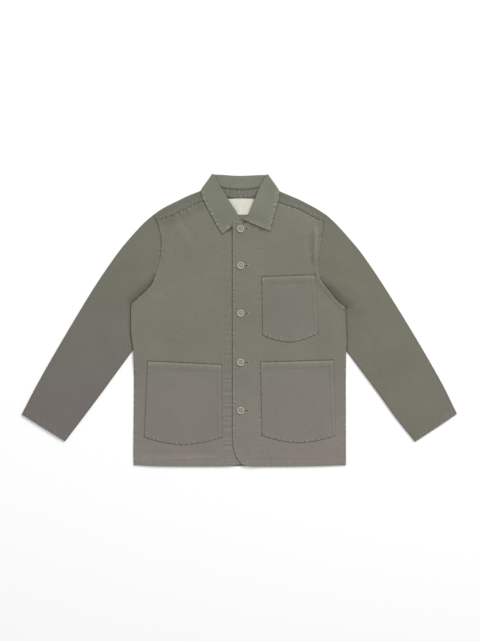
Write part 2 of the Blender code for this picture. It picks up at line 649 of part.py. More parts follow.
def around_neck(half_strip):
    """Columns of both halves joined into one strip, from the right front end to the left."""
    columns = []
    for half, leaf in ((RIGHT, LEAF_RIGHT), (LEFT, LEAF_LEFT)):
        front, back = half_strip(half, leaf)
        turned = [turn(a, b, neck_side(half, leaf)) for a, b in zip(back[0], front[-1])]
        strip = front + [list(points) for points in zip(*turned)][-2:0:-1] + back
        columns += strip if half is RIGHT else strip[-2::-1]
    return columns


def make_collar_leaf():
    """The leaf: front half, folded round the side of the neck, back, and the other front half."""

    def half_strip(half, leaf):
        front = [leaf_column(half, leaf, k / LEAF_CELLS) for k in range(LEAF_CELLS + 1)]
        back = [back_leaf_column(half, leaf, k / BACK_CELLS) for k in range(BACK_CELLS + 1)]
        return front, back

    return sheet("collar_leaf", [around_neck(half_strip)], "#7D7E71")


def stand_column(half, leaf, t):
    """The stand under the front leaf at t: leaf seam, middle, neck seam."""
    roll, free = Line(leaf.roll).at(t), Line(leaf.free).at(t)
    seam_depth, neck_depth = leaf_inner_depth(t) + STAND_SEAM_GAP, stand_neck_depth(t)
    column = []
    for d in (seam_depth, between(seam_depth, neck_depth, 0.5), neck_depth):
        plan = between(roll, free, d)
        under_leaf = leaf_height(half, t, d, plan) - LAYER
        on_front = front_height(half, plan.x, plan.y) + LAYER + SIDE_RISE * smooth(t, 0.6, 1.0)
        height = between(under_leaf, min(on_front, under_leaf), (d - seam_depth) / (neck_depth - seam_depth))
        column.append(Vector((plan.x, plan.y, height)))
    return column


def make_collar_stand():
    """The stand: lapped over the neck seam, up to the leaf's seam, folded at the neck's sides."""

    def half_strip(half, leaf):
        front = [stand_column(half, leaf, between(STAND_START, STAND_END, k / STAND_CELLS))
                 for k in range(STAND_CELLS + 1)]
        back = []
        for k in range(BACK_CELLS + 1):
            _, _, seam, neck = back_of_collar(half, leaf, between(STAND_BACK_START, 1.0, k / BACK_CELLS))
            top = seam + (neck - seam).normalized() * SEAM * 2.0
            back.append([Vector((*between(top, neck, d), FLOOR + LAYER)) for d in (0.0, 0.5, 1.0)])
        return front, back

    return sheet("collar_stand", [around_neck(half_strip)], "#7C7C6F")


def top_surface(piece):
    """A function of X and Y that gives the height of a piece's upper face."""
    ready = piece.evaluated_get(bpy.context.evaluated_depsgraph_get())
    tree = BVHTree.FromObject(ready, bpy.context.evaluated_depsgraph_get())

    def height(x, y):
        hit = tree.ray_cast(Vector((x * MM, y * MM, 1.0)), Vector((0.0, 0.0, -1.0)))[0]
        return hit.z / MM if hit else 0.0

    return height


def make_pocket(pocket, front):
    """A patch pocket from its front's own points, moved out by a layer and slightly open."""
    cells = range(POCKET_CELLS + 1)
    left = [between(Vector(pocket.foot_left), Vector(pocket.mouth_left), k / POCKET_CELLS) for k in cells]
    right = [between(Vector(pocket.foot_right), Vector(pocket.mouth_right), k / POCKET_CELLS) for k in cells]
    fractions = [k / POCKET_CELLS for k in cells]
    bottom = []
    for u in fractions:
        bow = pocket.bow * (1.0 - abs(2.0 * u - 1.0) ** 1.7)
        bottom.append(between(left[0], right[0], u) - Vector((0.0, bow)))
    top = [between(left[-1], right[-1], u) for u in fractions]
    surface = top_surface(front)
    rows = []
    for v, line in zip(fractions, patch(fractions, fractions, bottom, top, left, right)):
        row = []
        for u, p in zip(fractions, line):
            near = [(p.x + dx, p.y + dy) for dx in (-POCKET_FEEL, 0.0, POCKET_FEEL)
                    for dy in (-POCKET_FEEL, 0.0, POCKET_FEEL)]
            loft = POCKET_LOFT * math.sin(math.pi * u) * math.sin(math.pi * min(0.25 + 0.6 * v, 1.0))
            height = max(surface(*spot) for spot in near) + CLEAR + CLOTH / 2.0 + loft
            row.append(Vector((p.x, p.y, height)))
        rows.append(row)
    return sheet(pocket.name, [rows], "#7D7A70")


def make_label():
    """The bare cloth label inside the back neck, just below the stand."""
    rows = []
    for y in (LABEL_FOOT, between(LABEL_FOOT, LABEL_TOP, 0.5), LABEL_TOP):
        across = [between(LABEL_LEFT, LABEL_RIGHT, k / 4) for k in range(5)]
        rows.append([Vector((x, y, CLOTH + CLEAR + LABEL_CLOTH / 2.0)) for x in across])
    return sheet("label", [rows], "#DFDECD", LABEL_CLOTH)


def make_button(number, y, front):
    """A turned button with a raised rim, lying on the left front over its buttonhole."""
    surface = top_surface(front)
    around = [2.0 * math.pi * k / BUTTON_SIDES for k in range(BUTTON_SIDES)]
    foot = CLEAR + max(surface(BUTTON_X + radius * math.cos(a), y + radius * math.sin(a))
                       for a in around for radius in (0.0, BUTTON_RADIUS))
    mesh = bpy.data.meshes.new("button_%d" % number)
    profile = [(p.radius * MM, 0.0, p.height * MM) for p in BUTTON_PROFILE]
    mesh.from_pydata(profile, [(k, k + 1) for k in range(len(profile) - 1)], [])
    piece = add_object("button_%d" % number, mesh, "#B0AF9C", 0.45)
    piece.location = Vector((BUTTON_X, y, foot)) * MM
    spin = piece.modifiers.new("turned", "SCREW")
    spin.axis = "Z"
    spin.steps = BUTTON_SIDES
    spin.render_steps = BUTTON_SIDES
    spin.use_merge_vertices = True
    spin.merge_threshold = 0.00001
    return piece


def clear_scene():
    for old in list(bpy.data.objects):
        bpy.data.objects.remove(old, do_unlink=True)


def main():
    clear_scene()
    bpy.context.scene.collection.children.link(bpy.data.collections.new("Chore jacket"))
    make_back()
    fronts = {
        "right": make_front(RIGHT, FRONT_RIGHT_HEM, FRONT_RIGHT_EDGE, FRONT_RIGHT_NECK),
        "left": make_front(LEFT, FRONT_LEFT_HEM, FRONT_LEFT_EDGE, FRONT_LEFT_NECK),
    }
    for half in (RIGHT, LEFT):
        make_sleeve(half)
    make_collar_leaf()
    make_collar_stand()
    for pocket in POCKETS:
        make_pocket(pocket, fronts[pocket.half.word])
    make_label()
    for number, y in enumerate(BUTTON_ROWS, start=1):
        make_button(number, y, fronts["left"])


main()
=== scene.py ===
"""Looks of a washed cotton canvas chore jacket, buttoned up and laid flat on its back.

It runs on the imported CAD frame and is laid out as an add-on: one operator for each group of pieces. Tables
are in millimetres, in the frame of the CAD model: +Z up from the floor, +Y towards the collar, +X towards
the wearer's left sleeve. Each piece of cloth is a grid of points between its cut edges, lifted to the layer
that it lies in, with the seams' turned cloth, grooves and puckers worked into the height, and then given a
wall with rounded edges.
"""

import math
from collections import namedtuple
from functools import partial

import bmesh
import bpy
import numpy as np
from mathutils import Matrix, Vector


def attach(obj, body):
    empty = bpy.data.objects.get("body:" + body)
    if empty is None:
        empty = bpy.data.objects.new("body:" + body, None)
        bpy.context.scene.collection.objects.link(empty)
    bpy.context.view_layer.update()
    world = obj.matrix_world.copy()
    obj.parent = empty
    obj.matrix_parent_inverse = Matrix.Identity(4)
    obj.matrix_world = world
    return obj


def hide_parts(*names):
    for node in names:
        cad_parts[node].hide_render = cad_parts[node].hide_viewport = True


bl_info = {
    "name": "Chore jacket",
    "version": (1, 0, 0),
    "blender": (4, 5, 0),
    "location": "3D View > Sidebar > Jacket",
    "description": "Dresses the frame of a canvas chore jacket: panels, collar, pockets, buttons and stitching",
    "category": "Object",
}

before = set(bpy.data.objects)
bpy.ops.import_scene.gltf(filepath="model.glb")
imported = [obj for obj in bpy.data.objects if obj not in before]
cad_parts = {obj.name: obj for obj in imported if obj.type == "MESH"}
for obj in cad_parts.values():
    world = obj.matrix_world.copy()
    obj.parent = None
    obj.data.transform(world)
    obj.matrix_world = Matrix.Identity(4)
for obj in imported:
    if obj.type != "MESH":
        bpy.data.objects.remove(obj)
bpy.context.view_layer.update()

MM = 0.001
LINE_NEAR = 6.0         # spacing of the spots of a line that distances are measured to


def smooth(value, start, end):
    """0 before start, 1 after end, and a soft step between."""
    part = np.clip((value - start) / (end - start), 0.0, 1.0)
    return part * part * (3.0 - 2.0 * part)


def falling(value, start, end):
    """1 before start, 0 after end, and a soft step between."""
    return 1.0 - smooth(value, start, end)


def bump(value, middle, width):
    """1 at the middle, fading out on both sides of it."""
    return np.exp(-((value - middle) / width) ** 2)


def between(first, second, part):
    return first + (second - first) * part


def shares(count):
    return np.linspace(0.0, 1.0, count)


def plan_of(x, y):
    """Plan points from X and Y, each an array or one number."""
    return np.stack(np.broadcast_arrays(x, y), -1)


def lifted(plan, height):
    """Points from plan points and their heights, or one height for all."""
    return np.concatenate([plan, np.broadcast_to(height, plan.shape[:-1])[..., None]], -1)


def unit(vectors):
    return vectors / np.linalg.norm(vectors, axis=-1)[..., None]


def lengths(points):
    """How far along a run of points each one lies."""
    return np.r_[0.0, np.cumsum(np.linalg.norm(np.diff(points, axis=0), axis=1))]


def read(goal, reach, points):
    """Plan points at distances along a run of points."""
    return plan_of(np.interp(goal, reach, points[:, 0]), np.interp(goal, reach, points[:, 1]))


class Line:
    """A smooth line through a few spots, read by the fraction of its length."""

    STEPS = 24

    def __init__(self, *spots):
        spots = np.array(spots, float)
        ends = np.vstack([2 * spots[0] - spots[1], spots, 2 * spots[-1] - spots[-2]])
        t = (np.arange(self.STEPS) / self.STEPS)[:, None]
        runs = [0.5 * (2 * b + (c - a) * t + (2 * a - 5 * b + 4 * c - d) * t ** 2 + (3 * b - a - 3 * c + d) * t ** 3)
                for a, b, c, d in zip(ends, ends[1:], ends[2:], ends[3:])]
        self.points = np.vstack(runs + [spots[-1:]])
        self.first, self.last = self.points[0], self.points[-1]
        self.reach = lengths(self.points)
        self.length = self.reach[-1]
        self.across, self.rising = (self.points[np.argsort(self.points[:, k], kind="stable")] for k in (0, 1))

    def at(self, fraction):
        return read(np.asarray(fraction, float) * self.length, self.reach, self.points)

    def x_at(self, y):
        return np.interp(y, self.rising[:, 1], self.rising[:, 0])

    def y_at(self, x):
        return np.interp(x, self.across[:, 0], self.across[:, 1])

    def spots(self, start=0.0, end=1.0):
        """Evenly spaced points of part of the line."""
        count = max(2, int(abs(end - start) * self.length / LINE_NEAR) + 1)
        return self.at(np.linspace(start, end, count))


# Layers
LAYER = 1.5             # from the middle of one layer to the middle of the next
FLOOR = 0.6             # middle of a layer that lies on the surface
SEAM = 0.4              # gap between two pieces that are sewn edge to edge

# How far the layers stand off each other, and the stretches (start, end) over which they come to it
BODY_LOFT = 2.2         # air under the fronts, away from the seams
LOFT_REACH = 60.0       # distance from a side or shoulder fold over which the fronts rise
HEM_LOFT = 0.35         # share of the loft that is left at the hem
HEM_RISE = (-391.0, -300.0)
PLACKET_STEP = 1.7      # the left front over the right front's button edge
PLACKET_FADE = (26.0, 72.0)     # X, from the right front's hidden edge outwards
TAB_STEP = 1.8          # the left front's top corner over the right collar leaf
TAB_FADE = (2.0, 40.0)
TAB_RISE = (205.0, 252.0)
TUCK_LIFT = 3.4         # the body's sides over the sleeves tucked under them
TUCK_ACROSS = (205.0, 262.0)    # distance from the middle of the body
TUCK_RISE = (-165.0, -92.0)
TUCK_FADE = (54.0, 128.0)
SLEEVE_FOLD = 1.8       # extra height of a sleeve's folded edge away from the body
SLEEVE_CROWN = 1.0      # extra height along the middle of a sleeve
SLEEVE_RISE = (4.0, 58.0)       # distance from the body
COLLAR_ROLL = 3.2       # the leaf's rise from its free edge to its roll line
POCKET_LOFT = 0.7

CENTRE = 1.9            # X of the jacket's centre line
BUTTON_X = 3.6
BUTTON_ROWS = (246.2, 147.4, 18.9, -113.7, -243.3)      # Y, from the collar down

# Collar leaf: its roll line and free edge, both from the front end round to the side of the neck
Leaf = namedtuple("Leaf", "roll free back_side_free")
# One half of the jacket: its side of the centre line (-1 the wearer's right, +1 the left) and the lines that
# its pieces are cut to. The back's and the sleeve's: side, armhole, shoulder and seam (where the back's strip
# over the shoulder ends on the front), back_neck, and the sleeve's outer fold, the part of its inner fold that
# is tucked under the body, and the rest of it. The front's: hem and neck from the button edge outwards, and
# the button edge from the hem up.
Half = namedtuple("Half", "word sign side armhole shoulder seam back_neck outer tuck inner hem edge neck leaf")

RIGHT = Half(
    word="right",
    sign=-1,
    side=Line((-284.6, -391), (-285.9, -350), (-285, -270), (-284.3, -160), (-285.7, -86), (-289.7, -53.5),
              (-292.4, -26.5), (-292.4, 27.5), (-289.7, 43.7)),
    armhole=Line((-289.7, 43.7), (-265.4, 65.3), (-238.4, 92.3), (-226.3, 122), (-215.5, 157), (-210.1, 195),
                 (-211.9, 227.3), (-217.6, 257), (-223.6, 269.2)),
    shoulder=Line((-97.2, 352.1), (-113.1, 346.1), (-139.6, 335.3), (-162, 324.5), (-204.9, 302.9), (-232.5, 284)),
    seam=Line((-80.5, 329.9), (-107.5, 318.3), (-143.9, 301.1), (-187.1, 281.3), (-223.6, 269.2)),
    back_neck=Line((CENTRE, 336.4), (-35.9, 340.7), (-73.7, 348), (-97.2, 352.1)),
    outer=Line((-232.5, 284), (-260, 259.7), (-299.2, 216.5), (-333.5, 173.3), (-392.3, 86.9), (-470.6, -42.7),
               (-541.9, -166.9), (-587.2, -254.6)),
    tuck=Line((-289.7, 43.7), (-280.3, 14), (-276.8, -26.5), (-277.6, -68.3)),
    inner=Line((-277.6, -68.3), (-326.2, -134.5), (-373.7, -199.3), (-422.3, -264.1), (-470.6, -327.3)),
    hem=Line((23.5, -388), (0, -389.5), (-30, -394), (-120, -394.6), (-220, -394), (-284.6, -391)),
    edge=Line((23.5, -388), (23.5, 255.7)),
    neck=Line((23.5, 255.7), (-8.9, 257.6), (-27.8, 263.8), (-45.4, 275.9), (-61.6, 296.2), (-72.4, 313.7),
              (-80.5, 329.9)),
    leaf=Leaf(
        roll=Line((1.9, 269.2), (-8.9, 292), (-19.7, 308.3), (-30.5, 324.5), (-46.7, 350), (-60.2, 373.1),
                  (-69.7, 392)),
        free=Line((-45.4, 232.7), (-60.2, 254.3), (-79.1, 289.4), (-93.5, 317), (-101.5, 336), (-102.6, 349)),
        back_side_free=(-95.3, 357.4),
    ),
)

LEFT = Half(
    word="left",
    sign=1,
    side=Line((287.8, -391), (287.8, -296.5), (287.6, -161.5), (288.1, -86), (290, -67), (288.9, -26.5),
              (286.7, 19.4), (285.4, 34.3)),
    armhole=Line((285.4, 34.3), (263.8, 51.8), (242.2, 78.8), (223.3, 103.1), (213.8, 127.4), (212.5, 157.1),
                 (216.5, 189.5), (221.9, 221.9), (225.5, 248.9), (226.5, 265.1)),
    shoulder=Line((99.1, 352.6), (126.6, 340.7), (152.6, 329.9), (164.2, 324.5), (205.5, 302.9), (235.4, 284)),
    seam=Line((83.2, 329.9), (118, 313.7), (155.8, 301.6), (196.3, 281.3), (226.5, 265.1)),
    back_neck=Line((CENTRE, 336.4), (38.6, 340.7), (75.2, 348.3), (99.1, 352.6)),
    outer=Line((235.4, 284), (261.4, 259.7), (300.2, 216.5), (335.1, 173.3), (393.4, 86.9), (473.3, -42.7),
               (544.9, -166.9), (587.2, -252.7)),
    tuck=Line((285.4, 34.3), (280, 11.3), (278.1, -26.5), (280, -71)),
    inner=Line((280, -71), (328.1, -134.5), (376.4, -199.3), (423.1, -264.1), (474.4, -327.5)),
    hem=Line((4, -385.6), (12, -391), (30, -394.2), (67, -395), (180, -394), (287.8, -391)),
    edge=Line((4, -385.6), (-7, -371), (-13.5, -352), (-16.5, -335), (-17.8, -312.7), (-17.9, -280), (-17.9, -200),
              (-18, 0), (-18.4, 267.8)),
    neck=Line((-18.4, 267.8), (1.9, 267.8), (16.7, 265.1), (30.5, 266), (48.1, 275.9), (64.3, 296.2),
              (75.1, 313.7), (83.2, 329.9)),
    leaf=Leaf(
        roll=Line((10, 270.5), (23.5, 281.3), (32, 298), (42.4, 324.5), (51.8, 350), (62.5, 371), (74, 391)),
        free=Line((82.9, 239.5), (89.6, 267.8), (99.1, 302.9), (105, 324.5), (107, 338), (106.6, 349.5)),
        back_side_free=(98.0, 357.8),
    ),
)
HALVES = (RIGHT, LEFT)

BACK_HEM_DIP = 3.0              # the back hem's middle below its side corners
LEAF_BACK_ROLL_Y = 388.6        # the roll line at the centre of the back
LEAF_BACK_FREE_Y = 340.2        # the free edge beneath it, just clear of the back's neck edge
STAND_TOP_Y = 351.5             # seam between leaf and stand at the centre of the back
STAND_LAP = 5.4                 # the stand's lower edge, lapped over the back's neck edge
LEAF_SIDE_SEAM = 0.42           # leaf seam and neck seam at the side, as fractions of the leaf's depth
LEAF_SIDE_NECK = 0.74
SIDE_RISE = 0.9                 # extra height at the side of the neck, over the shoulder seams
STAND_START = 0.22              # where the hidden front end of the stand lies under the leaf
STAND_END = 0.99                # its folds at the side of the neck lie just inside the leaf's
STAND_BACK_START = 0.03
STAND_SEAM_GAP = 0.03

# Patch pockets: their corners, the bow of the bottom edge, and the first seed of their puckers
Pocket = namedtuple("Pocket", "name half mouth_left mouth_right foot_left foot_right bow seed")
POCKETS = tuple(Pocket(name, half, *np.array(corners, float), bow, seed) for name, half, corners, bow, seed in (
    ("pocket_chest", LEFT, ((60.8, 115.8), (203, 121.5), (63.5, -40), (212.5, -34.6)), 21.0, 90),
    ("pocket_hip_right", RIGHT, ((-246.5, -111), (-49.1, -120.5), (-256, -314.5), (-48.3, -315.4)), 20.0, 95),
    ("pocket_hip_left", LEFT, ((57.8, -114), (252.2, -108.3), (61.5, -310), (259.7, -310)), 20.0, 100),
))

LABEL_TOP, LABEL_FOOT = 328.5, 284.0
LABEL_LEFT, LABEL_RIGHT = -33.0, 42.0

# Walls of the cloth and the rounding of its edges
WALL = 1.0              # wall of one layer of canvas
PLY = 1.8               # two plies sewn together, as in the collar and along hems
EDGE_ROUND = 0.9        # distance from a turned edge over which its wall rounds off
EDGE_ROLL = 2.6         # distance over which the cloth rolls down to a turned edge

# A sewn edge or line: wave and pucker are the length and height of its puckers, reach how far they run out,
# rows the distances of its stitch rows, band the width of the turned cloth and lift its extra height
Sewn = namedtuple("Sewn", "line wave pucker reach seed rows band lift", defaults=((), 0.0, 0.0))
RUBBED_AND_SHADED = 2.4            # how strongly the puckers' crests are painted pale, partly as rubbed wear and partly as painted highlight, and their hollows painted dark as shade
GROOVE_DEPTH, GROOVE_WIDTH = 0.22, 1.15     # of a stitch row


def near(plan, line):
    """Distance of each point from a line or run of points, and how far along it its nearest spot lies."""
    line = line.spots() if isinstance(line, Line) else np.asarray(line, float)
    flat = plan.reshape(-1, 2)
    best, along = np.full(len(flat), np.inf), np.zeros(len(flat))
    start = 0.0
    for a, b in zip(line, line[1:]):
        span = b - a
        size = np.hypot(*span)
        part = np.clip(((flat - a) @ span) / size ** 2, 0.0, 1.0)
        off = ((flat - a - part[:, None] * span) ** 2).sum(1)
        closer = off < best
        best[closer] = off[closer]
        along[closer] = start + part[closer] * size
        start += size
    return np.sqrt(best).reshape(plan.shape[:-1]), along.reshape(plan.shape[:-1])


def apart(plan, line):
    return near(plan, line)[0]


def ripple(along, wave, seed):
    """An uneven ripple from -1 to 1 whose crests are about a wave apart."""
    chance = np.random.default_rng(seed)
    total = 0.0
    for stretch in (0.72, 0.86, 1.0, 1.27, 1.9):
        total = total + np.sin(along * 2.0 * np.pi / (wave * stretch) + chance.uniform(0.0, 2.0 * np.pi))
    return np.clip(total / 3.2, -1.0, 1.0)


def undulate(plan, seed, height=0.28, shortest=70.0, longest=170.0):
    """Wide shallow waves of cloth that was pressed and laid out by hand."""
    chance = np.random.default_rng(seed)
    total = 0.0
    for _ in range(7):
        turn, size = chance.uniform(0.0, np.pi), chance.uniform(shortest, longest)
        way = plan[..., 0] * math.cos(turn) + plan[..., 1] * math.sin(turn)
        total = total + np.sin(way * 2.0 * np.pi / size + chance.uniform(0.0, 2.0 * np.pi))
    return total * height / 2.6


def creased(plan, creases):
    """Height of the ridges and hollows that stand in the cloth, from rows of a crease table."""
    total = np.zeros(plan.shape[:-1])
    for start_x, start_y, end_x, end_y, width, height in creases:
        start, way = np.array((start_x, start_y)), np.array((end_x - start_x, end_y - start_y))
        along = ((plan - start) @ way) / (way ** 2).sum()
        spot = start + np.clip(along, 0.0, 1.0)[..., None] * way
        ends = smooth(along, -0.18, 0.15) * falling(along, 0.85, 1.18)
        total += height * ends * bump(np.linalg.norm(plan - spot, axis=-1), 0.0, width)
    return total


def sewn_relief(plan, *seams):
    """Height that sewing gives the cloth, and its painted tone: over 0 where crests are painted pale, partly as rubbed
    wear and partly as painted highlight, under 0 where hollows and grooves are painted dark as shade.
    """
    height, fade = np.zeros(plan.shape[:-1]), np.zeros(plan.shape[:-1])
    for seam in seams:
        off, along = near(plan, seam.line)
        away = bump(off, seam.rows[-1] * 0.55 if seam.rows else 0.0, seam.reach)
        crumple = ripple(along + 0.55 * off, seam.wave, seam.seed)
        crumple = crumple * (0.55 + 0.45 * ripple(along, seam.wave * 6.3, seam.seed + 1))
        height += seam.pucker * away * crumple
        height += seam.lift * falling(off, seam.band - 1.4, seam.band + 1.4)
        # painted tone of the puckers: crests paler, partly as rubbed wear and partly as painted highlight, hollows
        # darker as painted shade
        fade += RUBBED_AND_SHADED * away * np.where(crumple > 0.0, crumple, 0.7 * crumple) * min(seam.pucker / 0.3, 1.5)
        for row in seam.rows:
            groove = bump(off, row, GROOVE_WIDTH)
            height -= GROOVE_DEPTH * groove
            # the stitch groove painted darker, partly as dye held in it and partly as painted shade
            fade -= 0.35 * groove
        if seam.lift:
            # painted highlight along the lifted edge of the turned band
            fade += 0.35 * bump(off, 2.2, 1.6)
    return height, fade


def painted_shade_beside(plan, *lines):
    """Painted shade beside edges, where the light doesn't reach, and painted highlight where the depth is under 0:
    (line, width, depth) each, and the wave of its dashes where it shows as dashes."""
    total = np.zeros(plan.shape[:-1])
    for number, (line, width, depth, *wave) in enumerate(lines):
        off, along = near(plan, line)
        dashes = np.maximum(0.15 + 1.5 * ripple(along, wave[0], number), 0.0) if wave \
            else 0.8 + 0.35 * ripple(along, 23.0, number)
        total = total - depth * dashes * bump(off, 0.0, width)
    return total


def by_half(plan, function):
    """A function of half, taken for the half that each plan point lies in."""
    return np.where(plan[..., 0] < CENTRE, function(RIGHT), function(LEFT))


def body_edge(half, y):
    """X of the body's side or armhole at this Y."""
    return np.where(y < half.armhole.first[1], half.side.x_at(y), half.armhole.x_at(y))


def tuck_lift(plan):
    """How far the body lies above the floor, where a sleeve is tucked under its side."""
    return TUCK_LIFT * smooth(np.abs(plan[..., 0]), *TUCK_ACROSS) * (
        smooth(plan[..., 1], *TUCK_RISE) * falling(plan[..., 1], *TUCK_FADE))


def body_loft(plan):
    """Air between back and front, which closes at the sides, the shoulders and, partly, the hem."""
    x, y = plan[..., 0], plan[..., 1]
    from_side = by_half(plan, lambda half: np.abs(body_edge(half, y))) - np.abs(x)
    from_shoulder = by_half(plan, lambda half: half.shoulder.y_at(x)) - y
    hem = between(HEM_LOFT, 1.0, smooth(y, *HEM_RISE))
    return BODY_LOFT * smooth(from_side, 0.0, LOFT_REACH) * smooth(from_shoulder, 0.0, LOFT_REACH) * hem


def back_height(plan):
    return FLOOR + tuck_lift(plan)


def upper_base(plan):
    """Height of the upper layer before folds, seams and the laps of the button edge."""
    return back_height(plan) + LAYER + body_loft(plan)


# Crease tables: X and Y of the start, X and Y of the end, width, and height (under 0 in a hollow)
FRONT_CREASES = {
    "right": (
        (-178, 232, -184, 168, 12, -0.5), (-230, 66, -170, -60, 26, 0.5),
        (-203, 226, -207.5, 160, 3.6, 0.8), (-195, 236, -200, 150, 3.4, 0.6), (-186, 240, -190, 158, 5, 0.7),
        (-170, 255, -128, 196, 9, 0.8), (-152, 262, -112, 214, 7, -0.6), (-224, 128, -256, 66, 10, 1.5),
        (-250, 66, -205, 62, 4, 0.9), (-254, 56, -200, 50, 4.5, 0.7),
        # the yoke of creases that the chest was folded along, then one above the hip pocket
        (-92, 128, -36, 126, 4, -0.35), (-92, 123, -36, 121, 4.5, 0.3),
        (-192, -48, -171, -47, 7, 1.2), (-196, -61, -166, -63, 6, -0.8),
        # beside the side fold, and the ridge and hollow over the hem
        (-262, -250, -240, -352, 16, 0.4), (-60, -369, -268, -374, 5, 0.8), (-60, -358, -268, -361, 6, -0.5),
    ),
    "left": (
        (206, 245, 203.5, 152, 7.5, 2.2), (191, 240, 194, 150, 8, -0.6),
        (206, 250, 203.5, 156, 6, 1.4), (176, 236, 178, 158, 13, 1.3), (216, 222, 208, 140, 3.6, -0.9),
        (204, 140, 222, 92, 7, 0.9), (236, 96, 268, 56, 8, 1.2), (120, 255, 178, 226, 12, 0.3),
        (232, 60, 252, -40, 20, 0.4), (46, -369, 240, -373, 5, 0.5), (24, 190, 40, 120, 12, 0.25),
        (268, -140, 262, -300, 12, -0.3),
    ),
}
HEM_BAND, HEM_ROW = 13.5, 12.2
ARM_ROWS, ARM_BAND = (1.8, 7.8), 9.0
FACING_X = {"right": -43.0, "left": 57.0}
EDGE_STITCH = 6.5       # the button edge's row of stitches


def upright(x, low, high):
    """A straight line up the jacket."""
    return np.array([(x, low), (x, (low + high) / 2.0), (x, high)])


FRONT_SEAMS = {
    "right": (
        Sewn(RIGHT.hem, 11.0, 0.08, 8.0, 12, (HEM_ROW,), HEM_BAND, 0.5),
        Sewn(upright(FACING_X["right"], -378.0, 252.0), 10.5, 0.05, 9.0, 13, (0.0,)),
        Sewn(RIGHT.armhole, 9.0, 0.1, 7.0, 14, ARM_ROWS, ARM_BAND, 0.3),
        Sewn(RIGHT.seam, 9.5, 0.4, 5.0, 15),
        Sewn(RIGHT.side.spots(0.0, 0.72), 16.0, 0.14, 7.0, 16),
    ),
    "left": (
        Sewn(LEFT.edge, 8.0, 0.24, 5.0, 21, (EDGE_STITCH,), 17.0, 0.25),
        Sewn(LEFT.hem, 11.0, 0.08, 8.0, 22, (HEM_ROW,), HEM_BAND, 0.5),
        Sewn(upright(FACING_X["left"], -378.0, 244.0), 12.0, 0.1, 5.0, 23),
        Sewn(LEFT.armhole, 9.0, 0.06, 7.0, 24, ARM_ROWS, ARM_BAND, 0.35),
        Sewn(LEFT.seam, 9.5, 0.4, 5.0, 25),
        Sewn(LEFT.side.spots(0.0, 0.72), 16.0, 0.14, 7.0, 26),
    ),
}
ARMHOLE_LAP = 0.85      # the front's armhole edge over the sleeve,
UNDERARM_LAP = 0.5      # and how much more it stands off it at the underarm
HEM_LAP = 0.55          # turned hem of the front over the back's
FACING_MIDDLE, FACING_REACH = -31.0, 13.0       # level ripples between the facing's row and the button edge,
FACING_CALM = (-120.0, 10.0)                    # which calm down over this stretch, upwards
SHOULDER_LAP = 0.75     # the back's strip over the fronts' shoulder edges


def front_base(half, plan):
    """Middle of a front without its sewing: layers, laps, folds and wide waves."""
    x, y = plan[..., 0], plan[..., 1]
    own_side = (x < CENTRE) if half is RIGHT else (x >= CENTRE)
    height = upper_base(plan) + creased(plan, FRONT_CREASES[half.word]) * own_side
    if half is LEFT:
        height = height + PLACKET_STEP * falling(x, *PLACKET_FADE)
        height = height + TAB_STEP * falling(x, *TAB_FADE) * smooth(y, *TAB_RISE)
    inside = smooth(np.abs(body_edge(half, y)) - np.abs(x), 4.0, 46.0) * smooth(y, -392.0, -352.0)
    return height + undulate(plan, 5) * inside + HEM_LAP * falling(y, -382.0, -340.0)


def underarm(half, plan):
    """1 at the foot of the armhole, where the sleeve is bent down along the body."""
    up = plan[..., 1]
    foot = half.armhole.first[1]
    return smooth(up, foot - 30.0, foot + 6.0) * falling(up, foot + 50.0, foot + 95.0)


def front_surface(half, plan):
    """Middle of a front with its sewing, and its painted wear and shade."""
    relief, fade = sewn_relief(plan, *FRONT_SEAMS[half.word])
    if half is RIGHT:
        # the ripples' tone is painted: crests paler, partly as rubbed wear and partly as painted highlight, hollows
        # darker as painted shade
        bars = ripple(plan[..., 1], 13.0, 7) * bump(plan[..., 0], FACING_MIDDLE, FACING_REACH)
        bars = bars * (1.0 - 0.75 * smooth(plan[..., 1], *FACING_CALM))
        relief, fade = relief + 0.2 * bars, fade + 0.5 * bars
    lap = (ARMHOLE_LAP + UNDERARM_LAP * underarm(half, plan)) * falling(apart(plan, half.armhole), 2.0, 18.0)
    under = LAYER * 0.25 * falling(apart(plan, half.seam), 0.5, 9.0)
    return front_base(half, plan) + relief + lap - under, fade


def near_lists(start, end, step, span):
    """Distances of grid lines from the start and the end of a span, and fractions for those between."""
    count = max(2, int(round((span - start[-1] - end[-1]) / step)))
    return np.array(start), np.array(end), shares(count + 1)[1:-1]


def spread(lists, spans):
    """Places of the grid lines as fractions of each span: (spans, lines)."""
    start, end, middle = lists
    spans = np.asarray(spans, float)[:, None]
    inner = start[-1] + middle * (spans - start[-1] - end[-1])
    ones = np.ones_like(spans)
    return np.hstack([start * ones, inner, spans - end[::-1] * ones]) / spans


def coons(u, v, left, right, bottom, top):
    """Plan points of a patch between four edges, each a function of a fraction."""
    u1, v1 = u[..., None], v[..., None]
    zero, one = np.zeros(1), np.ones(1)
    corners = ((1 - u1) * (1 - v1) * bottom(zero) + u1 * (1 - v1) * bottom(one)
               + (1 - u1) * v1 * top(zero) + u1 * v1 * top(one))
    return (1 - u1) * left(v) + u1 * right(v) + (1 - v1) * bottom(u) + v1 * top(u) - corners


def patch(across, up, left, right, bottom, top):
    """Plan grid whose lines keep set distances from its edges."""
    def sizes(one, other, places):
        return np.linalg.norm(other(places) - one(places), axis=-1)

    middle = np.array([0.5])
    rows, columns = spread(up, sizes(bottom, top, middle))[0], spread(across, sizes(left, right, middle))[0]
    u, v = spread(across, sizes(left, right, rows)), spread(up, sizes(bottom, top, columns)).T
    return coons(u, v, left, right, bottom, top)


# A grid of points in millimetres with its place on the cloth, its painted wear and shade, and its wall
Grid = namedtuple("Grid", "points cloth fade wall")


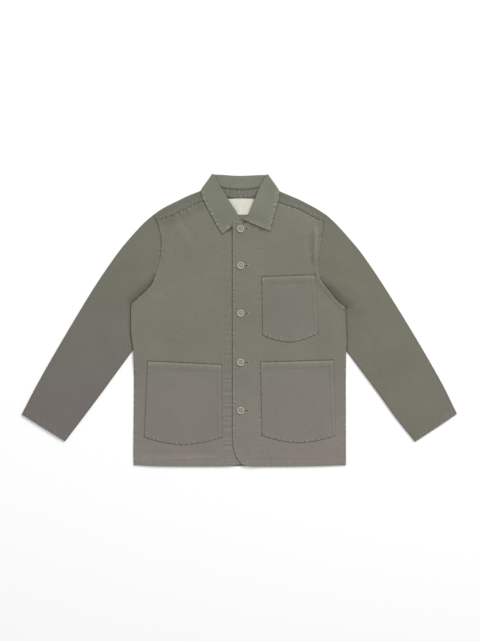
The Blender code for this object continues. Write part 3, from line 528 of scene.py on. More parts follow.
def grid(points, fade=0.0, wall=WALL, cloth=None):
    shape = points.shape[:2]
    return Grid(points, np.broadcast_to(points[..., :2] if cloth is None else cloth, shape + (2,)),
                np.broadcast_to(fade, shape), np.broadcast_to(wall, shape))


def mirrored_order(made):
    """The same grid with its columns in the other order, so that its faces point the other way."""
    return Grid(*(array[:, ::-1] for array in made))


def edge_wall(wall, off):
    """Wall that rounds off to a turned edge, from the distance to that edge."""
    part = np.clip(1.0 - off / EDGE_ROUND, 0.0, 1.0)
    return wall * np.maximum(np.sqrt(1.0 - part * part), 0.14)


def banded(off, band, before=1.5):
    """1 where the cloth is turned in as a band along an edge, 0 beyond it."""
    return falling(off, band - before, band + 1.0)


def roll_down(off, depth):
    """How far cloth drops as it rolls over a turned edge."""
    return depth * falling(off, 0.0, EDGE_ROLL) ** 2


def joined(grids):
    """The grids as one set of points and four-sided faces, joined where their edges fall together."""
    faces, first = [], 0
    for g in grids:
        rows, columns = g.points.shape[:2]
        index = np.arange(first, first + rows * columns).reshape(rows, columns)
        faces.append(np.stack([index[:-1, :-1], index[:-1, 1:], index[1:, 1:], index[1:, :-1]], -1).reshape(-1, 4))
        first += rows * columns
    points, cloth, fade, wall = (
        np.concatenate([g[k].reshape(g.points.shape[0] * g.points.shape[1], -1) for g in grids]) for k in range(4))
    _, keep, same = np.unique(np.round(points, 6) + 0.0, axis=0, return_index=True, return_inverse=True)
    return points[keep], cloth[keep], fade[keep, 0], wall[keep, 0], same.ravel()[np.vstack(faces)]


def face_vectors(points, faces):
    """The crossed diagonals of four-sided faces: along their normals, twice their areas long."""
    return np.cross(points[faces[:, 2]] - points[faces[:, 0]], points[faces[:, 3]] - points[faces[:, 1]])


def point_normals(points, faces):
    """Unit normals of points from the four-sided faces round them."""
    across, normals = face_vectors(points, faces), np.zeros_like(points)
    for corner in range(4):
        np.add.at(normals, faces[:, corner], across)
    return normals / np.maximum(np.linalg.norm(normals, axis=1), 1e-9)[:, None]


def new_piece(name, mesh, material):
    mesh.materials.clear()
    mesh.materials.append(material)
    piece = bpy.data.objects.new(name, mesh)
    bpy.context.scene.collection.objects.link(piece)
    return piece


def cloth_piece(name, grids, material):
    """A closed piece of cloth: both faces of its wall and the rim between them, as one mesh."""
    points, cloth, fade, wall, faces = joined(grids)
    count = len(points)
    out = point_normals(points, faces) * wall[:, None] / 2.0
    every = np.vstack([points + out, points - out])
    every[:, 2] = np.maximum(every[:, 2], 0.0)
    edges = np.vstack([faces[:, [k, (k + 1) % 4]] for k in range(4)])
    keys, mirrored = edges[:, 0] * count + edges[:, 1], edges[:, 1] * count + edges[:, 0]
    free = edges[~np.isin(keys, mirrored)]
    rim = np.stack([free[:, 1], free[:, 0], free[:, 0] + count, free[:, 1] + count], -1)
    quads = np.vstack([faces, faces[:, ::-1] + count, rim])
    mesh = bpy.data.meshes.new(name)
    mesh.vertices.add(len(every))
    mesh.vertices.foreach_set("co", (every * MM).ravel())
    mesh.loops.add(quads.size)
    mesh.loops.foreach_set("vertex_index", quads.ravel())
    mesh.polygons.add(len(quads))
    mesh.polygons.foreach_set("loop_start", np.arange(0, quads.size, 4))
    mesh.update(calc_edges=True)
    mesh.validate()
    mesh.shade_smooth()
    loops = np.zeros(len(mesh.loops), np.int32)
    mesh.loops.foreach_get("vertex_index", loops)
    chart = mesh.uv_layers.new(name="cloth")
    chart.data.foreach_set("uv", (np.vstack([cloth, cloth])[loops] * MM).ravel())
    wear_and_shade_value = mesh.attributes.new("fade", "FLOAT", "POINT")
    wear_and_shade_value.data.foreach_set("value", np.r_[fade, fade].astype(np.float32))
    return new_piece(name, mesh, material)


def outward_normals(plan, away_from=(0.0, 0.0)):
    """Level unit vectors square to a run of plan points, away from a spot."""
    ahead = np.gradient(plan, axis=0)
    side = unit(plan_of(ahead[:, 1], -ahead[:, 0]))
    return side * np.where(((plan - np.asarray(away_from)) * side).sum(1) > 0.0, 1.0, -1.0)[:, None]


def turned(lower, upper, outward, steps=5):
    """Rows of points round a folded edge, from a lower row to the one above it, both included."""
    radius = np.abs(upper[..., 2] - lower[..., 2]) / 2.0
    rows = [lower]
    for k in range(1, steps):
        angle = math.pi * k / steps
        rows.append(between(lower, upper, (1.0 - math.cos(angle)) / 2.0)
                    + outward * (radius * math.sin(angle))[..., None])
    return np.stack(rows + [upper])


def wrapped(points, outward, radius, steps=5, turn=math.pi * 0.94):
    """Extra columns that carry a grid's last column round a fold to its underside."""
    last, down = points[:, -1], np.array([0.0, 0.0, -1.0])
    return np.stack([last + (radius * math.sin(a))[:, None] * outward + (radius * (1.0 - math.cos(a)))[:, None] * down
                     for a in turn * np.arange(1, steps + 1) / steps], 1)


# Distances of the grid lines from sewn edges
TURNED_EDGE = (0.0, 0.3, 0.8, 1.5, 2.6, 4.0, 5.2, 6.2, 7.2, 8.4, 10.2, 12.4, 15.0)
HEM_EDGE = (0.0, 0.3, 0.8, 1.5, 2.8, 4.8, 7.0, 9.2, 10.9, 11.7, 12.4, 13.1, 14.2, 16.4)
SEWN_EDGE = (0.0, 0.5, 1.1, 1.8, 2.5, 3.6, 5.2, 6.6, 7.4, 8.2, 9.2, 11.2, 13.6)
PLAIN_EDGE = (0.0, 0.8, 2.0, 3.6, 5.6, 8.0)
FRONT_STEP = 2.5
FRONT_ACROSS, FRONT_UP = 300.0, 650.0       # about, to count its grid lines
SIDE_FOLD = LAYER / 2.0         # radius of the fold at the body's side, to the middle of the wall
LEAST_FOLD = 0.22               # and at the armhole, where the front's edge is only turned under
UNDER_STRIP = 2.2               # the fronts' shoulder edges run on under the back's strip
NECK_END = 0.5                  # share of a front's upper edge that is its neck

# Other lines beside which shade is painted on a front: (line, width, depth), depth under 0 where a highlight is
# painted instead
PAINTED_SHADE_LINES = {
    "left": [
        # painted shade in the hollows beside the armhole, and a painted highlight on the ridge between them
        (((189, 226), (191.5, 205), (197, 160)), 6.5, 0.45), (((205.5, 246), (206, 200), (204, 156)), 4.0, -0.4),
        (((219, 232), (213, 196), (208, 150)), 2.4, 0.5), (((229, 262), (221.5, 222)), 1.8, 1.2),
        # painted shadow under the front end of the collar, and a painted highlight and shade at the top of the button
        # edge
        (((24, 262), (66, 243)), 6.5, 1.0), (((9, 261.5), (19, 264.5)), 2.4, 2.2),
        (((-16, 264.5), (3, 265)), 1.7, -1.3), (((-16, 260), (2, 261)), 1.5, 0.8),
    ],
    "right": [
        # painted shadow beside the left front's button edge and under the collar's front end
        (LEFT.edge, 1.9, 1.5), (((-33, 239.5), (-20, 248)), 3.2, 2.2),
        # painted shade on the cloth under the shoulder seam, and a painted highlight on the pressed ridge over the hem
        (((-200, 266), (-106, 306)), 15.0, 0.6), (((-60, -370), (-268, -375)), 4.0, -0.4),
        # painted shade in the hollows beside the armhole
        (((-209, 234), (-211.5, 196), (-211, 160)), 1.8, 0.7), (((-199, 226), (-203, 160)), 1.8, 0.4),
    ],
}


def side_fold_part(half, y):
    """1 along the body's side, where front and back are one fold, and 0 at the armhole."""
    return falling(y, half.armhole.first[1] - 18.0, half.armhole.first[1] - 2.0)


def beside_front(half):
    """Edges beside which shade is painted on a front's cloth: what lies on it, then its own outline."""
    lines = [(leaf_rim(half), 2.4, 1.6), (half.seam, 2.0, 1.2, 8.5)]
    for pocket in POCKETS:
        if pocket.half is half:
            lines += [(pocket_foot(pocket, shares(50)), 2.6, 1.5, 8.0),
                      ((pocket.mouth_left, pocket.foot_left), 1.9, 0.9),
                      ((pocket.mouth_right, pocket.foot_right), 1.9, 0.5),
                      ((pocket.mouth_left, pocket.mouth_right), 2.3, 2.4)]
    return lines + PAINTED_SHADE_LINES[half.word] + [(half.side, 2.2, 0.7), (half.hem, 1.5, 0.8)]


def make_front_grids(half):
    """One front, from its button edge out to the fold at the body's side."""
    edge, seam = half.edge, half.seam
    seam_out = outward_normals(seam.points)

    def button_edge(v):
        y = between(edge.first[1], edge.last[1], v)
        return plan_of(edge.x_at(y), y)

    def outer_edge(v):
        y = between(half.side.first[1], half.armhole.last[1], v)
        inset = (SIDE_FOLD + WALL / 2.0) * side_fold_part(half, y)
        return plan_of(body_edge(half, y) - half.sign * inset, y)

    def top(u):
        goal = np.clip(2.0 * u - 1.0, 0.0, 1.0)
        lap = (UNDER_STRIP * smooth(u, 0.49, 0.53) * falling(u, 0.985, 1.0))[..., None]
        on_edge = np.where((u < NECK_END)[..., None], half.neck.at(2.0 * u), seam.at(goal))
        return on_edge + read(goal, seam.reach / seam.length, seam_out) * lap

    across = near_lists(TURNED_EDGE, SEWN_EDGE, FRONT_STEP, FRONT_ACROSS)
    plan = patch(across, near_lists(HEM_EDGE, PLAIN_EDGE, FRONT_STEP, FRONT_UP), button_edge, outer_edge,
                 half.hem.at, top)
    middle, fade = front_surface(half, plan)
    fade = fade + painted_shade_beside(plan, *beside_front(half))
    from_edge, from_hem = apart(plan, edge), apart(plan, half.hem)
    points = lifted(plan, middle - roll_down(from_hem, 0.75) - roll_down(from_edge, 0.65))
    turned_in = np.maximum(banded(from_hem, HEM_BAND), 0.6 * falling(from_edge, 6.0, 14.0))
    wall = edge_wall(edge_wall(WALL + (PLY - WALL) * turned_in, from_hem), from_edge)
    # round the fold at the side, down to the back
    radius = np.maximum(SIDE_FOLD * side_fold_part(half, plan[:, -1, 1]), LEAST_FOLD)
    fold = wrapped(points, lifted(outward_normals(plan[:, -1]), 0.0), radius)
    steps = fold.shape[1]
    fold_wall = np.minimum(np.minimum(WALL, 2.0 * radius), wall[:, -1])[:, None] * np.ones(steps)
    wall[:, -1] = np.minimum(wall[:, -1], np.maximum(fold_wall[:, 0], 0.5))
    made = grid(np.concatenate([points, fold], 1), np.concatenate([fade, np.repeat(fade[:, -1:], steps, 1)], 1),
                np.concatenate([wall, fold_wall], 1))
    return [made] if half is LEFT else [mirrored_order(made)]


BACK_STEP = 5.5
BACK_UP = 700.0         # about its length, to count its grid lines
NECK_SHARE = 0.34       # of each half of the back's upper edge
NECK_COLUMNS = 18
STRIP_ROWS = 12
STRIP_END = 4.8         # where the strip's even rows end, before its seam,
STRIP_EDGE = np.array([4.2, 2.8, 1.8, 1.0, 0.45, 0.0])      # and the rows from there on
STRIP_SEWN = (1.8, 7.6)
STRIP_WALL = 1.3
STRIP_DARK = 0.55       # the crumpled strip over the shoulder is a little darker all over
SHOULDER_COLUMNS = 66


def back_edge_x(half, y):
    """X of the back's side, armhole and, above it, the line up to the shoulder tip."""
    (foot_x, foot_y), (tip_x, tip_y) = half.armhole.last, half.shoulder.last
    above = between(foot_x, tip_x, np.clip((y - foot_y) / (tip_y - foot_y), 0, 1))
    return np.where(y > foot_y, above, body_edge(half, y))


def make_back_grids(half):
    """Half of the back: its panel, the fold over the shoulder, and the strip down to the forward seam."""
    corner_x, low = half.side.first
    inset = LAYER / 2.0 + WALL / 2.0
    fold_line = half.shoulder.points - outward_normals(half.shoulder.points) * inset
    fold_reach = lengths(fold_line)

    def centre(v):
        return plan_of(CENTRE, between(low - BACK_HEM_DIP, half.back_neck.first[1], v))

    def outer_edge(v):
        y = between(low, fold_line[-1, 1], v)
        x = back_edge_x(half, y) - half.sign * (inset + SEAM) * side_fold_part(half, y)
        to_fold = smooth(v, 0.985, 1.0)[..., None]
        return plan_of(x, y) * (1 - to_fold) + fold_line[-1] * to_fold

    def bottom(u):
        x = between(CENTRE, corner_x - half.sign * (inset + SEAM), u)
        return plan_of(x, low - BACK_HEM_DIP * (1.0 - u ** 3))

    def top(u):
        part = np.clip((u - NECK_SHARE) / (1.0 - NECK_SHARE), 0.0, 1.0) * fold_reach[-1]
        on_neck = half.back_neck.at(np.clip(u / NECK_SHARE, 0, 1))
        return np.where((u <= NECK_SHARE)[..., None], on_neck, read(part, fold_reach, fold_line))

    columns = np.r_[np.linspace(0.0, NECK_SHARE, NECK_COLUMNS)[:-1],
                    between(NECK_SHARE, 1.0, shares(SHOULDER_COLUMNS))]
    v = spread(near_lists(HEM_EDGE, PLAIN_EDGE, BACK_STEP, BACK_UP),
               np.linalg.norm(top(columns) - bottom(columns), axis=-1)).T
    plan = coons(np.broadcast_to(columns, v.shape), v, centre, outer_edge, bottom, top)
    hem_line = bottom(shares(60))
    relief, fade = sewn_relief(plan, Sewn(hem_line, 11.0, 0.25, 11.0, 31 + half.sign, (HEM_ROW,), HEM_BAND),
                               Sewn(half.armhole, 9.0, 0.2, 7.0, 33 + half.sign, ARM_ROWS, ARM_BAND))
    from_hem = apart(plan, hem_line)
    middle = back_height(plan) + np.clip(-relief, -0.08, 0.6) + 0.2 * falling(from_hem, 0.0, 14.0)
    middle[-1] = back_height(plan[-1])
    points = lifted(plan, middle)
    # over the shoulder, then down to the forward seam
    shoulder = columns >= NECK_SHARE
    lower = points[-1, shoulder]
    upper = lower + np.array([0.0, 0.0, LAYER])
    fold = turned(lower, upper, lifted(outward_normals(lower[:, :2]), 0.0))
    goal = half.seam.at(shares(SHOULDER_COLUMNS))
    drop = np.linalg.norm(goal - upper[:, :2], axis=1)
    share = np.vstack([shares(STRIP_ROWS)[:-1, None] * (1.0 - STRIP_END / drop), 1.0 - STRIP_EDGE[:, None] / drop])
    strip_plan = between(upper[:, :2], goal, share[..., None])
    strip_height, strip_wear_and_shade = strip_surface(half, strip_plan)
    strip_height[0] = upper[:, 2]
    off = apart(strip_plan, half.seam)
    grids = [
        grid(points, fade, edge_wall(WALL + 0.3 * banded(from_hem, HEM_BAND), from_hem)),
        grid(fold, fade[-1, shoulder]),
        grid(lifted(strip_plan, strip_height - roll_down(off, 0.5)), strip_wear_and_shade, edge_wall(STRIP_WALL, off)),
    ]
    return grids if half is LEFT else [mirrored_order(g) for g in grids]


def strip_surface(half, plan):
    """Middle of the back's strip between the shoulder fold and the forward seam, and its painted wear and shade."""
    seed = 15 if half is RIGHT else 25
    relief, fade = sewn_relief(plan, Sewn(half.seam, 5.6, 0.36, 6.0, seed, STRIP_SEWN, 9.0, 0.3),
                               Sewn(half.shoulder, 6.4, 0.3, 7.0, seed + 40))
    neck_end = bump(np.linalg.norm(plan - half.seam.first, axis=-1), 0.0, 30.0)
    fade = 0.75 * fade - STRIP_DARK - 0.6 * neck_end + painted_shade_beside(plan, (half.seam, 2.2, 1.3, 9.0))
    lap = SHOULDER_LAP * falling(apart(plan, half.seam), 6.0, 14.0)
    return upper_base(plan) + (relief + lap) * smooth(apart(plan, half.shoulder), 0.5, 4.0), fade


# Sleeves
SLEEVE_TOP_EDGE = (0.0, 0.5, 1.2, 2.2, 3.6, 5.6, 8.0)
SLEEVE_STEP = 3.0
SLEEVE_ACROSS, SLEEVE_ALONG = 180.0, 640.0      # about, to count its grid lines
UNDER_COLUMNS = 30
SLEEVE_CORE_X = 380.0   # somewhere inside each sleeve, to tell its folded edges' outer side
ARM_CORNER = 0.41       # share of the armhole, from the underarm, where the sleeve's first row ends
FIRST_SHARE = 0.30      # of the sleeve's outer edge, level with the underarm
TUCK_SHARE = 0.465      # and level with where it leaves the body's side
CUFF_ROW, CUFF_BAND = 15.0, 16.5
SLEEVE_LAP = 2.2        # the sleeve's armhole edge runs on under the front's
CORNER_TUCK = 5.0       # and its fold under the body's corner at the underarm, over this stretch
CORNER_FADE = (2.0, 24.0)
SLEEVE_LEAVES_Y = -86.0 # below this Y the sleeve is clear of the body's side
SLEEVE_BULGE = 3.0      # the sleeve's swell beside the underarm, where it is bent down
SLEEVE_CREASES = {
    "right": (
        (-300, 60, -352, 10, 13, 0.5), (-318, 18, -392, -62, 15, -0.45), (-300, -60, -338, -104, 12, 0.55),
        (-420, -60, -372, -128, 15, 0.4), (-470, -150, -430, -200, 12, -0.35), (-520, -225, -482, -262, 10, 0.3),
        (-250, 200, -282, 130, 14, 0.35),
    ),
    "left": (
        (292, 62, 350, 12, 13, 0.45), (300, 10, 372, -70, 15, -0.45), (296, -52, 330, -96, 11, 0.5),
        (430, -70, 380, -140, 15, 0.4), (462, -160, 424, -206, 12, -0.35), (526, -232, 488, -262, 10, 0.3),
        (252, 190, 276, 120, 14, 0.35),
    ),
}


def sleeve_rise(half, plan):
    """0 where the sleeve is pressed flat beside or under the body, 1 where it is free of it."""
    x, y = plan[..., 0], plan[..., 1]
    side = half.side.points
    rim = np.vstack([side[side[:, 1] > SLEEVE_LEAVES_Y], half.armhole.points, half.shoulder.last])
    under = (y > SLEEVE_LEAVES_Y) & (y < half.armhole.last[1]) & (np.abs(x) < np.abs(body_edge(half, y)))
    return smooth(np.where(under, 0.0, apart(plan, rim[::4])), *SLEEVE_RISE)


def off_sleeve(half, plan):
    """Level unit vectors out of a sleeve, square to a run of plan points along one of its folds."""
    return outward_normals(plan, (half.sign * SLEEVE_CORE_X, 0.0))


def sleeve_edges(half, lapped):
    """The sleeve's outer, inner and first edges as functions of a fraction, to the start of its folds."""
    rim = np.vstack([half.armhole.points, half.shoulder.last])
    reach = lengths(rim)
    lap = smooth(reach, -6.0, 4.0) * smooth(reach[-1] - reach, 3.0, 14.0) if lapped else 0.0 * reach
    rim = rim + outward_normals(rim) * (SEAM - (SEAM + SLEEVE_LAP) * lap)[:, None]
    corner = ARM_CORNER * half.armhole.length

    def inside(points):
        radius = (LAYER + sleeve_rise(half, points) * SLEEVE_FOLD) / 2.0
        return points - off_sleeve(half, points) * (radius + WALL / 2.0)[:, None]

    grain, free = shares(240), shares(160)
    outer = half.outer.at(grain)
    outer[0] = rim[-1]
    outer = inside(outer)
    inner = inside(np.vstack([half.tuck.at(free)[:-1], half.inner.at(free)]))
    inner_share = np.r_[between(FIRST_SHARE, TUCK_SHARE, free)[:-1], between(TUCK_SHARE, 1.0, free)]
    tucked = CORNER_TUCK * falling(np.linalg.norm(inner - inner[0], axis=1), *CORNER_FADE)
    across = inner[0] - read(FIRST_SHARE, grain, outer)
    inner += across / np.hypot(*across) * tucked[:, None]

    def on_outer(f):
        return read(f, grain, outer)

    def on_inner(f):
        on_arm = read(corner * np.clip(1.0 - f / FIRST_SHARE, 0.0, 1.0), reach, rim)
        blend = smooth(f, FIRST_SHARE - 0.004, FIRST_SHARE)[..., None]
        return np.where((f < FIRST_SHARE)[..., None], between(on_arm, inner[0], blend), read(f, inner_share, inner))

    def first(u):
        on_arm = read(between(reach[-1], corner, u), reach, rim)
        return between(on_outer(np.zeros(1)), on_arm, smooth(u, 0.0, 0.03)[..., None])

    return on_outer, on_inner, first


def sleeve_plan(half, u, f, lapped):
    """Plan points of a sleeve's upper or lower layer, from its outer to its inner fold."""
    on_outer, on_inner, first = sleeve_edges(half, lapped)
    bulge = first(u) - between(first(np.zeros(1)), first(np.ones(1)), u[:, None])
    curved = np.maximum(0.0, 1.0 - f / FIRST_SHARE)[:, None, None]
    return between(on_outer(f)[:, None], on_inner(f)[:, None], u[None, :, None]) + bulge[None] * curved


def cuff_line(half):
    return np.vstack([edge(np.ones(1)) for edge in sleeve_edges(half, False)[:2]])


def sleeve_surface(half, plan, u):
    """Middle of the sleeve's upper layer, and its painted wear and shade."""
    rise, off_fold, off_arm = sleeve_rise(half, plan), np.minimum(u, 1.0 - u), apart(plan, half.armhole)
    relief, fade = sewn_relief(plan, Sewn(half.armhole, 9.0, 0.16, 9.0, 24 if half is LEFT else 14),
                               Sewn(cuff_line(half), 9.0, 0.12, 10.0, 51 + half.sign, (CUFF_ROW,), CUFF_BAND, 0.25))
    folds = creased(plan, SLEEVE_CREASES[half.word]) + undulate(plan, 60 + half.sign, 0.4)
    height = FLOOR + LAYER + rise * (SLEEVE_FOLD + SLEEVE_CROWN * np.sin(np.pi * u))
    height = height + folds * (smooth(off_fold, 0.0, 0.22) * np.maximum(rise, 0.4))
    swell = SLEEVE_BULGE * underarm(half, plan) * smooth(off_arm, 5.0, 26.0) * falling(off_arm, 30.0, 90.0)
    lapped = 0.3 * falling(off_arm, 1.0, 11.0)
    return height + swell + relief * smooth(off_fold, -0.02, 0.04) - lapped, fade


def sleeve_cloth(half, points):
    """Place on the cloth, with the grain along the sleeve."""
    way = half.outer.last + half.inner.last - 2.0 * half.shoulder.last
    way = way / np.hypot(*way)
    flat = points[..., :2]
    return plan_of(flat @ np.array([way[1], -way[0]]), flat @ way)


def beside_sleeve(half):
    """Edges beside which shade is painted on a sleeve's cloth: the body's, then its own folds."""
    arm, side = half.armhole, half.side.points
    by_body = side[(side[:, 1] > SLEEVE_LEAVES_Y - 6.0) & (side[:, 1] < arm.first[1] - 9.0)][::6]
    return ((arm.spots(0.92, 1.0), 2.6, 1.9), (arm.spots(0.6, 0.92), 2.2, 0.4 if half is RIGHT else 0.8),
            (arm.spots(0.02, 0.4), 4.5, 1.1), (by_body, 4.0, 1.4), (half.outer, 2.6, 0.8), (half.inner, 2.6, 0.9))


def make_sleeve_grids(half):
    """A sleeve's upper layer, its lower layer, and the folds that join them."""
    cuff_edge = np.array(HEM_EDGE) * (CUFF_ROW / HEM_ROW)
    f = spread(near_lists(SLEEVE_TOP_EDGE, cuff_edge, SLEEVE_STEP, SLEEVE_ALONG), [half.outer.length])[0]
    f[np.argmin(np.abs(f - FIRST_SHARE))] = FIRST_SHARE
    u = spread(near_lists(PLAIN_EDGE, PLAIN_EDGE, SLEEVE_STEP, SLEEVE_ACROSS), [SLEEVE_ACROSS])[0]
    upper_plan, lower_plan = sleeve_plan(half, u, f, True), sleeve_plan(half, shares(UNDER_COLUMNS), f, False)
    folded = f >= FIRST_SHARE
    lower_plan[:, 0] = upper_plan[:, 0]
    lower_plan[folded, -1] = upper_plan[folded, -1]
    height, fade = sleeve_surface(half, upper_plan, np.broadcast_to(u, upper_plan.shape[:2]))
    # painted shade at the underarm beside the armhole, where the sleeve dips under the body's edge
    by_arm = bump(apart(upper_plan, half.armhole), 0.0, 15.0)
    fade = fade + painted_shade_beside(upper_plan, *beside_sleeve(half)) - underarm(half, upper_plan) * by_arm
    cuff = cuff_line(half)
    to_cuff = apart(upper_plan, cuff)
    wall = edge_wall(WALL + 0.5 * banded(to_cuff, CUFF_BAND), to_cuff)
    relief, under_wear_and_shade = sewn_relief(
        lower_plan, Sewn(cuff, 9.0, 0.25, 12.0, 57 + half.sign, (CUFF_ROW,), CUFF_BAND),
        Sewn(half.armhole, 9.0, 0.2, 8.0, 59 + half.sign))
    under_wall = edge_wall(WALL, apart(lower_plan, cuff))
    upper = lifted(upper_plan, height - roll_down(to_cuff, 0.5))
    lower = lifted(lower_plan, FLOOR + np.clip(-relief, -0.08, 0.5))
    grids = [grid(upper, fade, wall, sleeve_cloth(half, upper)),
             mirrored_order(grid(lower, under_wear_and_shade, under_wall, sleeve_cloth(half, lower)))]
    for side, rows in ((0, np.ones(len(f), bool)), (-1, folded)):
        low, high = lower[rows, side], upper[rows, side]
        arc = turned(low, high, lifted(off_sleeve(half, low[:, :2]), 0.0)).transpose(1, 0, 2)
        made = grid(arc, fade[rows, side][:, None], wall[rows, side][:, None], sleeve_cloth(half, arc))
        grids.append(made if side == 0 else mirrored_order(made))
    return grids if half is RIGHT else [mirrored_order(g) for g in grids]


# Collar
LEAF_STEP = 1.9
LEAF_ACROSS, LEAF_ALONG = 62.0, 130.0       # about, to count its grid lines
LEAF_SIDE_LINES, LEAF_ROLL_LINES = (0.0, 2.0, 5.0), (0.0, 1.6, 3.4)
HIDDEN_COLUMNS = 6      # of the leaf's inner part
BACK_COLUMNS = 44
COLLAR_WALL, HIDDEN_WALL = 1.7, 1.1
STAND_FOOT_Y = 329.6    # the stand's lower edge at the centre of the back,
STAND_FOOT_BEND = 0.0022        # and how it bends upwards from there
COLLAR_ROW = 5.6
STAND_COLUMNS = 60
STAND_ROWS = 12
STAND_SEWN = (2.0,)


def leaf_inner_depth(t):
    """Depth of the leaf's hidden inner part at fraction t from the front end to the neck's side."""
    return between(0.10, LEAF_SIDE_SEAM, smooth(t, 0.0, 0.9))


def stand_neck_depth(t):
    """Depth of the neck seam below the roll line, as a fraction of the leaf's."""
    return between(0.62, LEAF_SIDE_NECK, smooth(t, 0.5, 1.0))


def leaf_height(half, t, d, plan):
    """Middle of the visible leaf: on the front at its free edge, up on the stand at its roll."""
    over_stand = LAYER * falling(d, stand_neck_depth(t), 1.0) * smooth(t, 0.05, 0.25)
    roll = COLLAR_ROLL * smooth(t, 0.0, 0.35) * (1.0 - d) ** 1.5
    return front_base(half, plan) + LAYER + over_stand + roll + SIDE_RISE * smooth(t, 0.6, 1.0) * d


def leaf_rim(half):
    """The leaf's turned edge: up its front end, then along its free edge."""
    roll, free = half.leaf.roll, half.leaf.free
    return np.vstack([between(roll.first, free.first, shares(8)[:-1, None]), free.spots()])


def leaf_surface(half, t, d):
    """Points of the leaf's upper face at fractions along and across it, and their painted wear and shade."""
    plan, rim = between(half.leaf.roll.at(t), half.leaf.free.at(t), d[..., None]), leaf_rim(half)
    relief, fade = sewn_relief(plan, Sewn(rim, 8.6, 0.42, 4.8, 71 + half.sign, (COLLAR_ROW,), 7.2, 0.25))
    off, along = near(plan, rim)
    fade = fade + (0.35 + 0.5 * ripple(along, 10.0, 77)) * bump(off, 7.6, 2.6)
    shown = smooth(d, 0.1, 0.35) * falling(t, 0.93, 1.0)
    return lifted(plan, leaf_height(half, t, d, plan) + relief * shown), fade * shown


def leaf_front(half, t, outer):
    """Columns of the leaf across its depth: inner part, roll, then out to the free edge."""
    roll, free = half.leaf.roll.at(t), half.leaf.free.at(t)
    shown, fade = leaf_surface(half, *np.broadcast_arrays(t[:, None], outer))
    depth = leaf_inner_depth(t)[:, None] * np.linspace(1.0, 0.0, HIDDEN_COLUMNS)
    plan = between(roll[:, None], free[:, None], depth[..., None])
    inner = lifted(plan, leaf_height(half, t[:, None], depth, plan) - LAYER)
    rolled = turned(inner[:, -1], shown[:, 0], lifted(-unit(free - roll), 0.0)).transpose(1, 0, 2)
    points = np.concatenate([inner[:, :-1], rolled, shown[:, 1:]], 1)
    return points, np.pad(fade, ((0, 0), (points.shape[1] - fade.shape[1], 0)))


def back_of_collar(half, part):
    """Roll, free edge, leaf seam and neck seam round the back, from the side (0) to the centre (1)."""
    leaf = half.leaf
    (roll_x, roll_y), (free_x, free_y) = leaf.roll.last, leaf.back_side_free
    roll = plan_of(between(roll_x, CENTRE, part), between(roll_y, LEAF_BACK_ROLL_Y, smooth(part, 0.0, 1.0)))
    free = plan_of(between(free_x, CENTRE, part), between(free_y, LEAF_BACK_FREE_Y, 1.0 - (1.0 - part) ** 1.6))
    centre_seam = (LEAF_BACK_ROLL_Y - STAND_TOP_Y) / (LEAF_BACK_ROLL_Y - LEAF_BACK_FREE_Y)
    seam = between(roll, free, between(LEAF_SIDE_SEAM, centre_seam, smooth(part, 0.0, 0.3)[:, None]))
    on_back = half.back_neck.at(1.0 - part) - np.array([0.0, STAND_LAP])
    off = on_back[:, 0] - CENTRE
    on_back[:, 1] = between(STAND_FOOT_Y + STAND_FOOT_BEND * off ** 2, on_back[:, 1], smooth(np.abs(off), 26.0, 52.0))
    side_neck = between(leaf.roll.last, leaf.free.last, LEAF_SIDE_NECK)
    return roll, free, seam, between(side_neck, on_back, np.clip(part * 4.0, 0.0, 1.0)[:, None])


def leaf_back(half, part, outer):
    """The same columns of the leaf round the back of the neck."""
    roll, free, seam, _ = back_of_collar(half, part)
    inner = lifted(between(seam[:, None], roll[:, None], shares(HIDDEN_COLUMNS)[None, :, None]), FLOOR + LAYER)
    shown = lifted(between(roll[:, None], free[:, None], outer[:, None]), FLOOR)
    rolled = turned(shown[:, 0], inner[:, -1], lifted(-unit(free - roll), 0.0)).transpose(1, 0, 2)[:, ::-1]
    return np.concatenate([inner[:, :-1], rolled, shown[:, 1:]], 1)


def round_neck(half, front, back):
    """Front columns, the fold at the side of the neck, and back columns, as one strip."""
    fold = half.leaf.free.last - half.leaf.roll.last
    side = np.array([-fold[1], fold[0], 0.0]) / np.hypot(*fold) * half.sign
    return np.concatenate([front, turned(back[0], front[-1], side)[-2:0:-1], back], 0)


def collar_grid(half, strip, column, fade, wall):
    """A strip of the collar, with its place on the cloth as if it were unrolled along one of its columns."""
    cloth = plan_of(lengths(strip[:, column])[:, None], np.arange(strip.shape[1]) * 2.0)
    made = grid(strip, fade, wall, cloth)
    return mirrored_order(made) if half is RIGHT else made


def make_leaf_grids():
    """The whole leaf: for each half its front, the fold at the side of the neck, and its back."""
    made, back_outer = [], None
    for half in HALVES:
        roll, free = half.leaf.roll, half.leaf.free
        t = spread(near_lists(TURNED_EDGE, LEAF_SIDE_LINES, LEAF_STEP, LEAF_ALONG), [free.length])[0]
        outer = spread(near_lists(LEAF_ROLL_LINES, TURNED_EDGE, LEAF_STEP, LEAF_ACROSS),
                       np.linalg.norm(free.at(t) - roll.at(t), axis=1))
        front, fade = leaf_front(half, t, outer)
        back_outer = outer[-1] if back_outer is None else back_outer
        strip = round_neck(half, front, leaf_back(half, shares(BACK_COLUMNS), back_outer))
        off, to_side = apart(front[..., :2], leaf_rim(half)), smooth(t, 0.9, 1.0)[:, None]
        shown = np.arange(front.shape[1]) >= front.shape[1] - outer.shape[1]
        wall = between(np.where(shown, edge_wall(COLLAR_WALL, off), HIDDEN_WALL), HIDDEN_WALL, to_side)
        strip[:len(t), :, 2] -= np.where(shown, roll_down(off, 0.45) * (1.0 - to_side), 0.0)
        beyond = ((0, len(strip) - len(t)), (0, 0))
        made.append(collar_grid(half, strip, strip.shape[1] // 2, np.pad(fade, beyond),
                                np.pad(wall, beyond, constant_values=HIDDEN_WALL)))
    return made


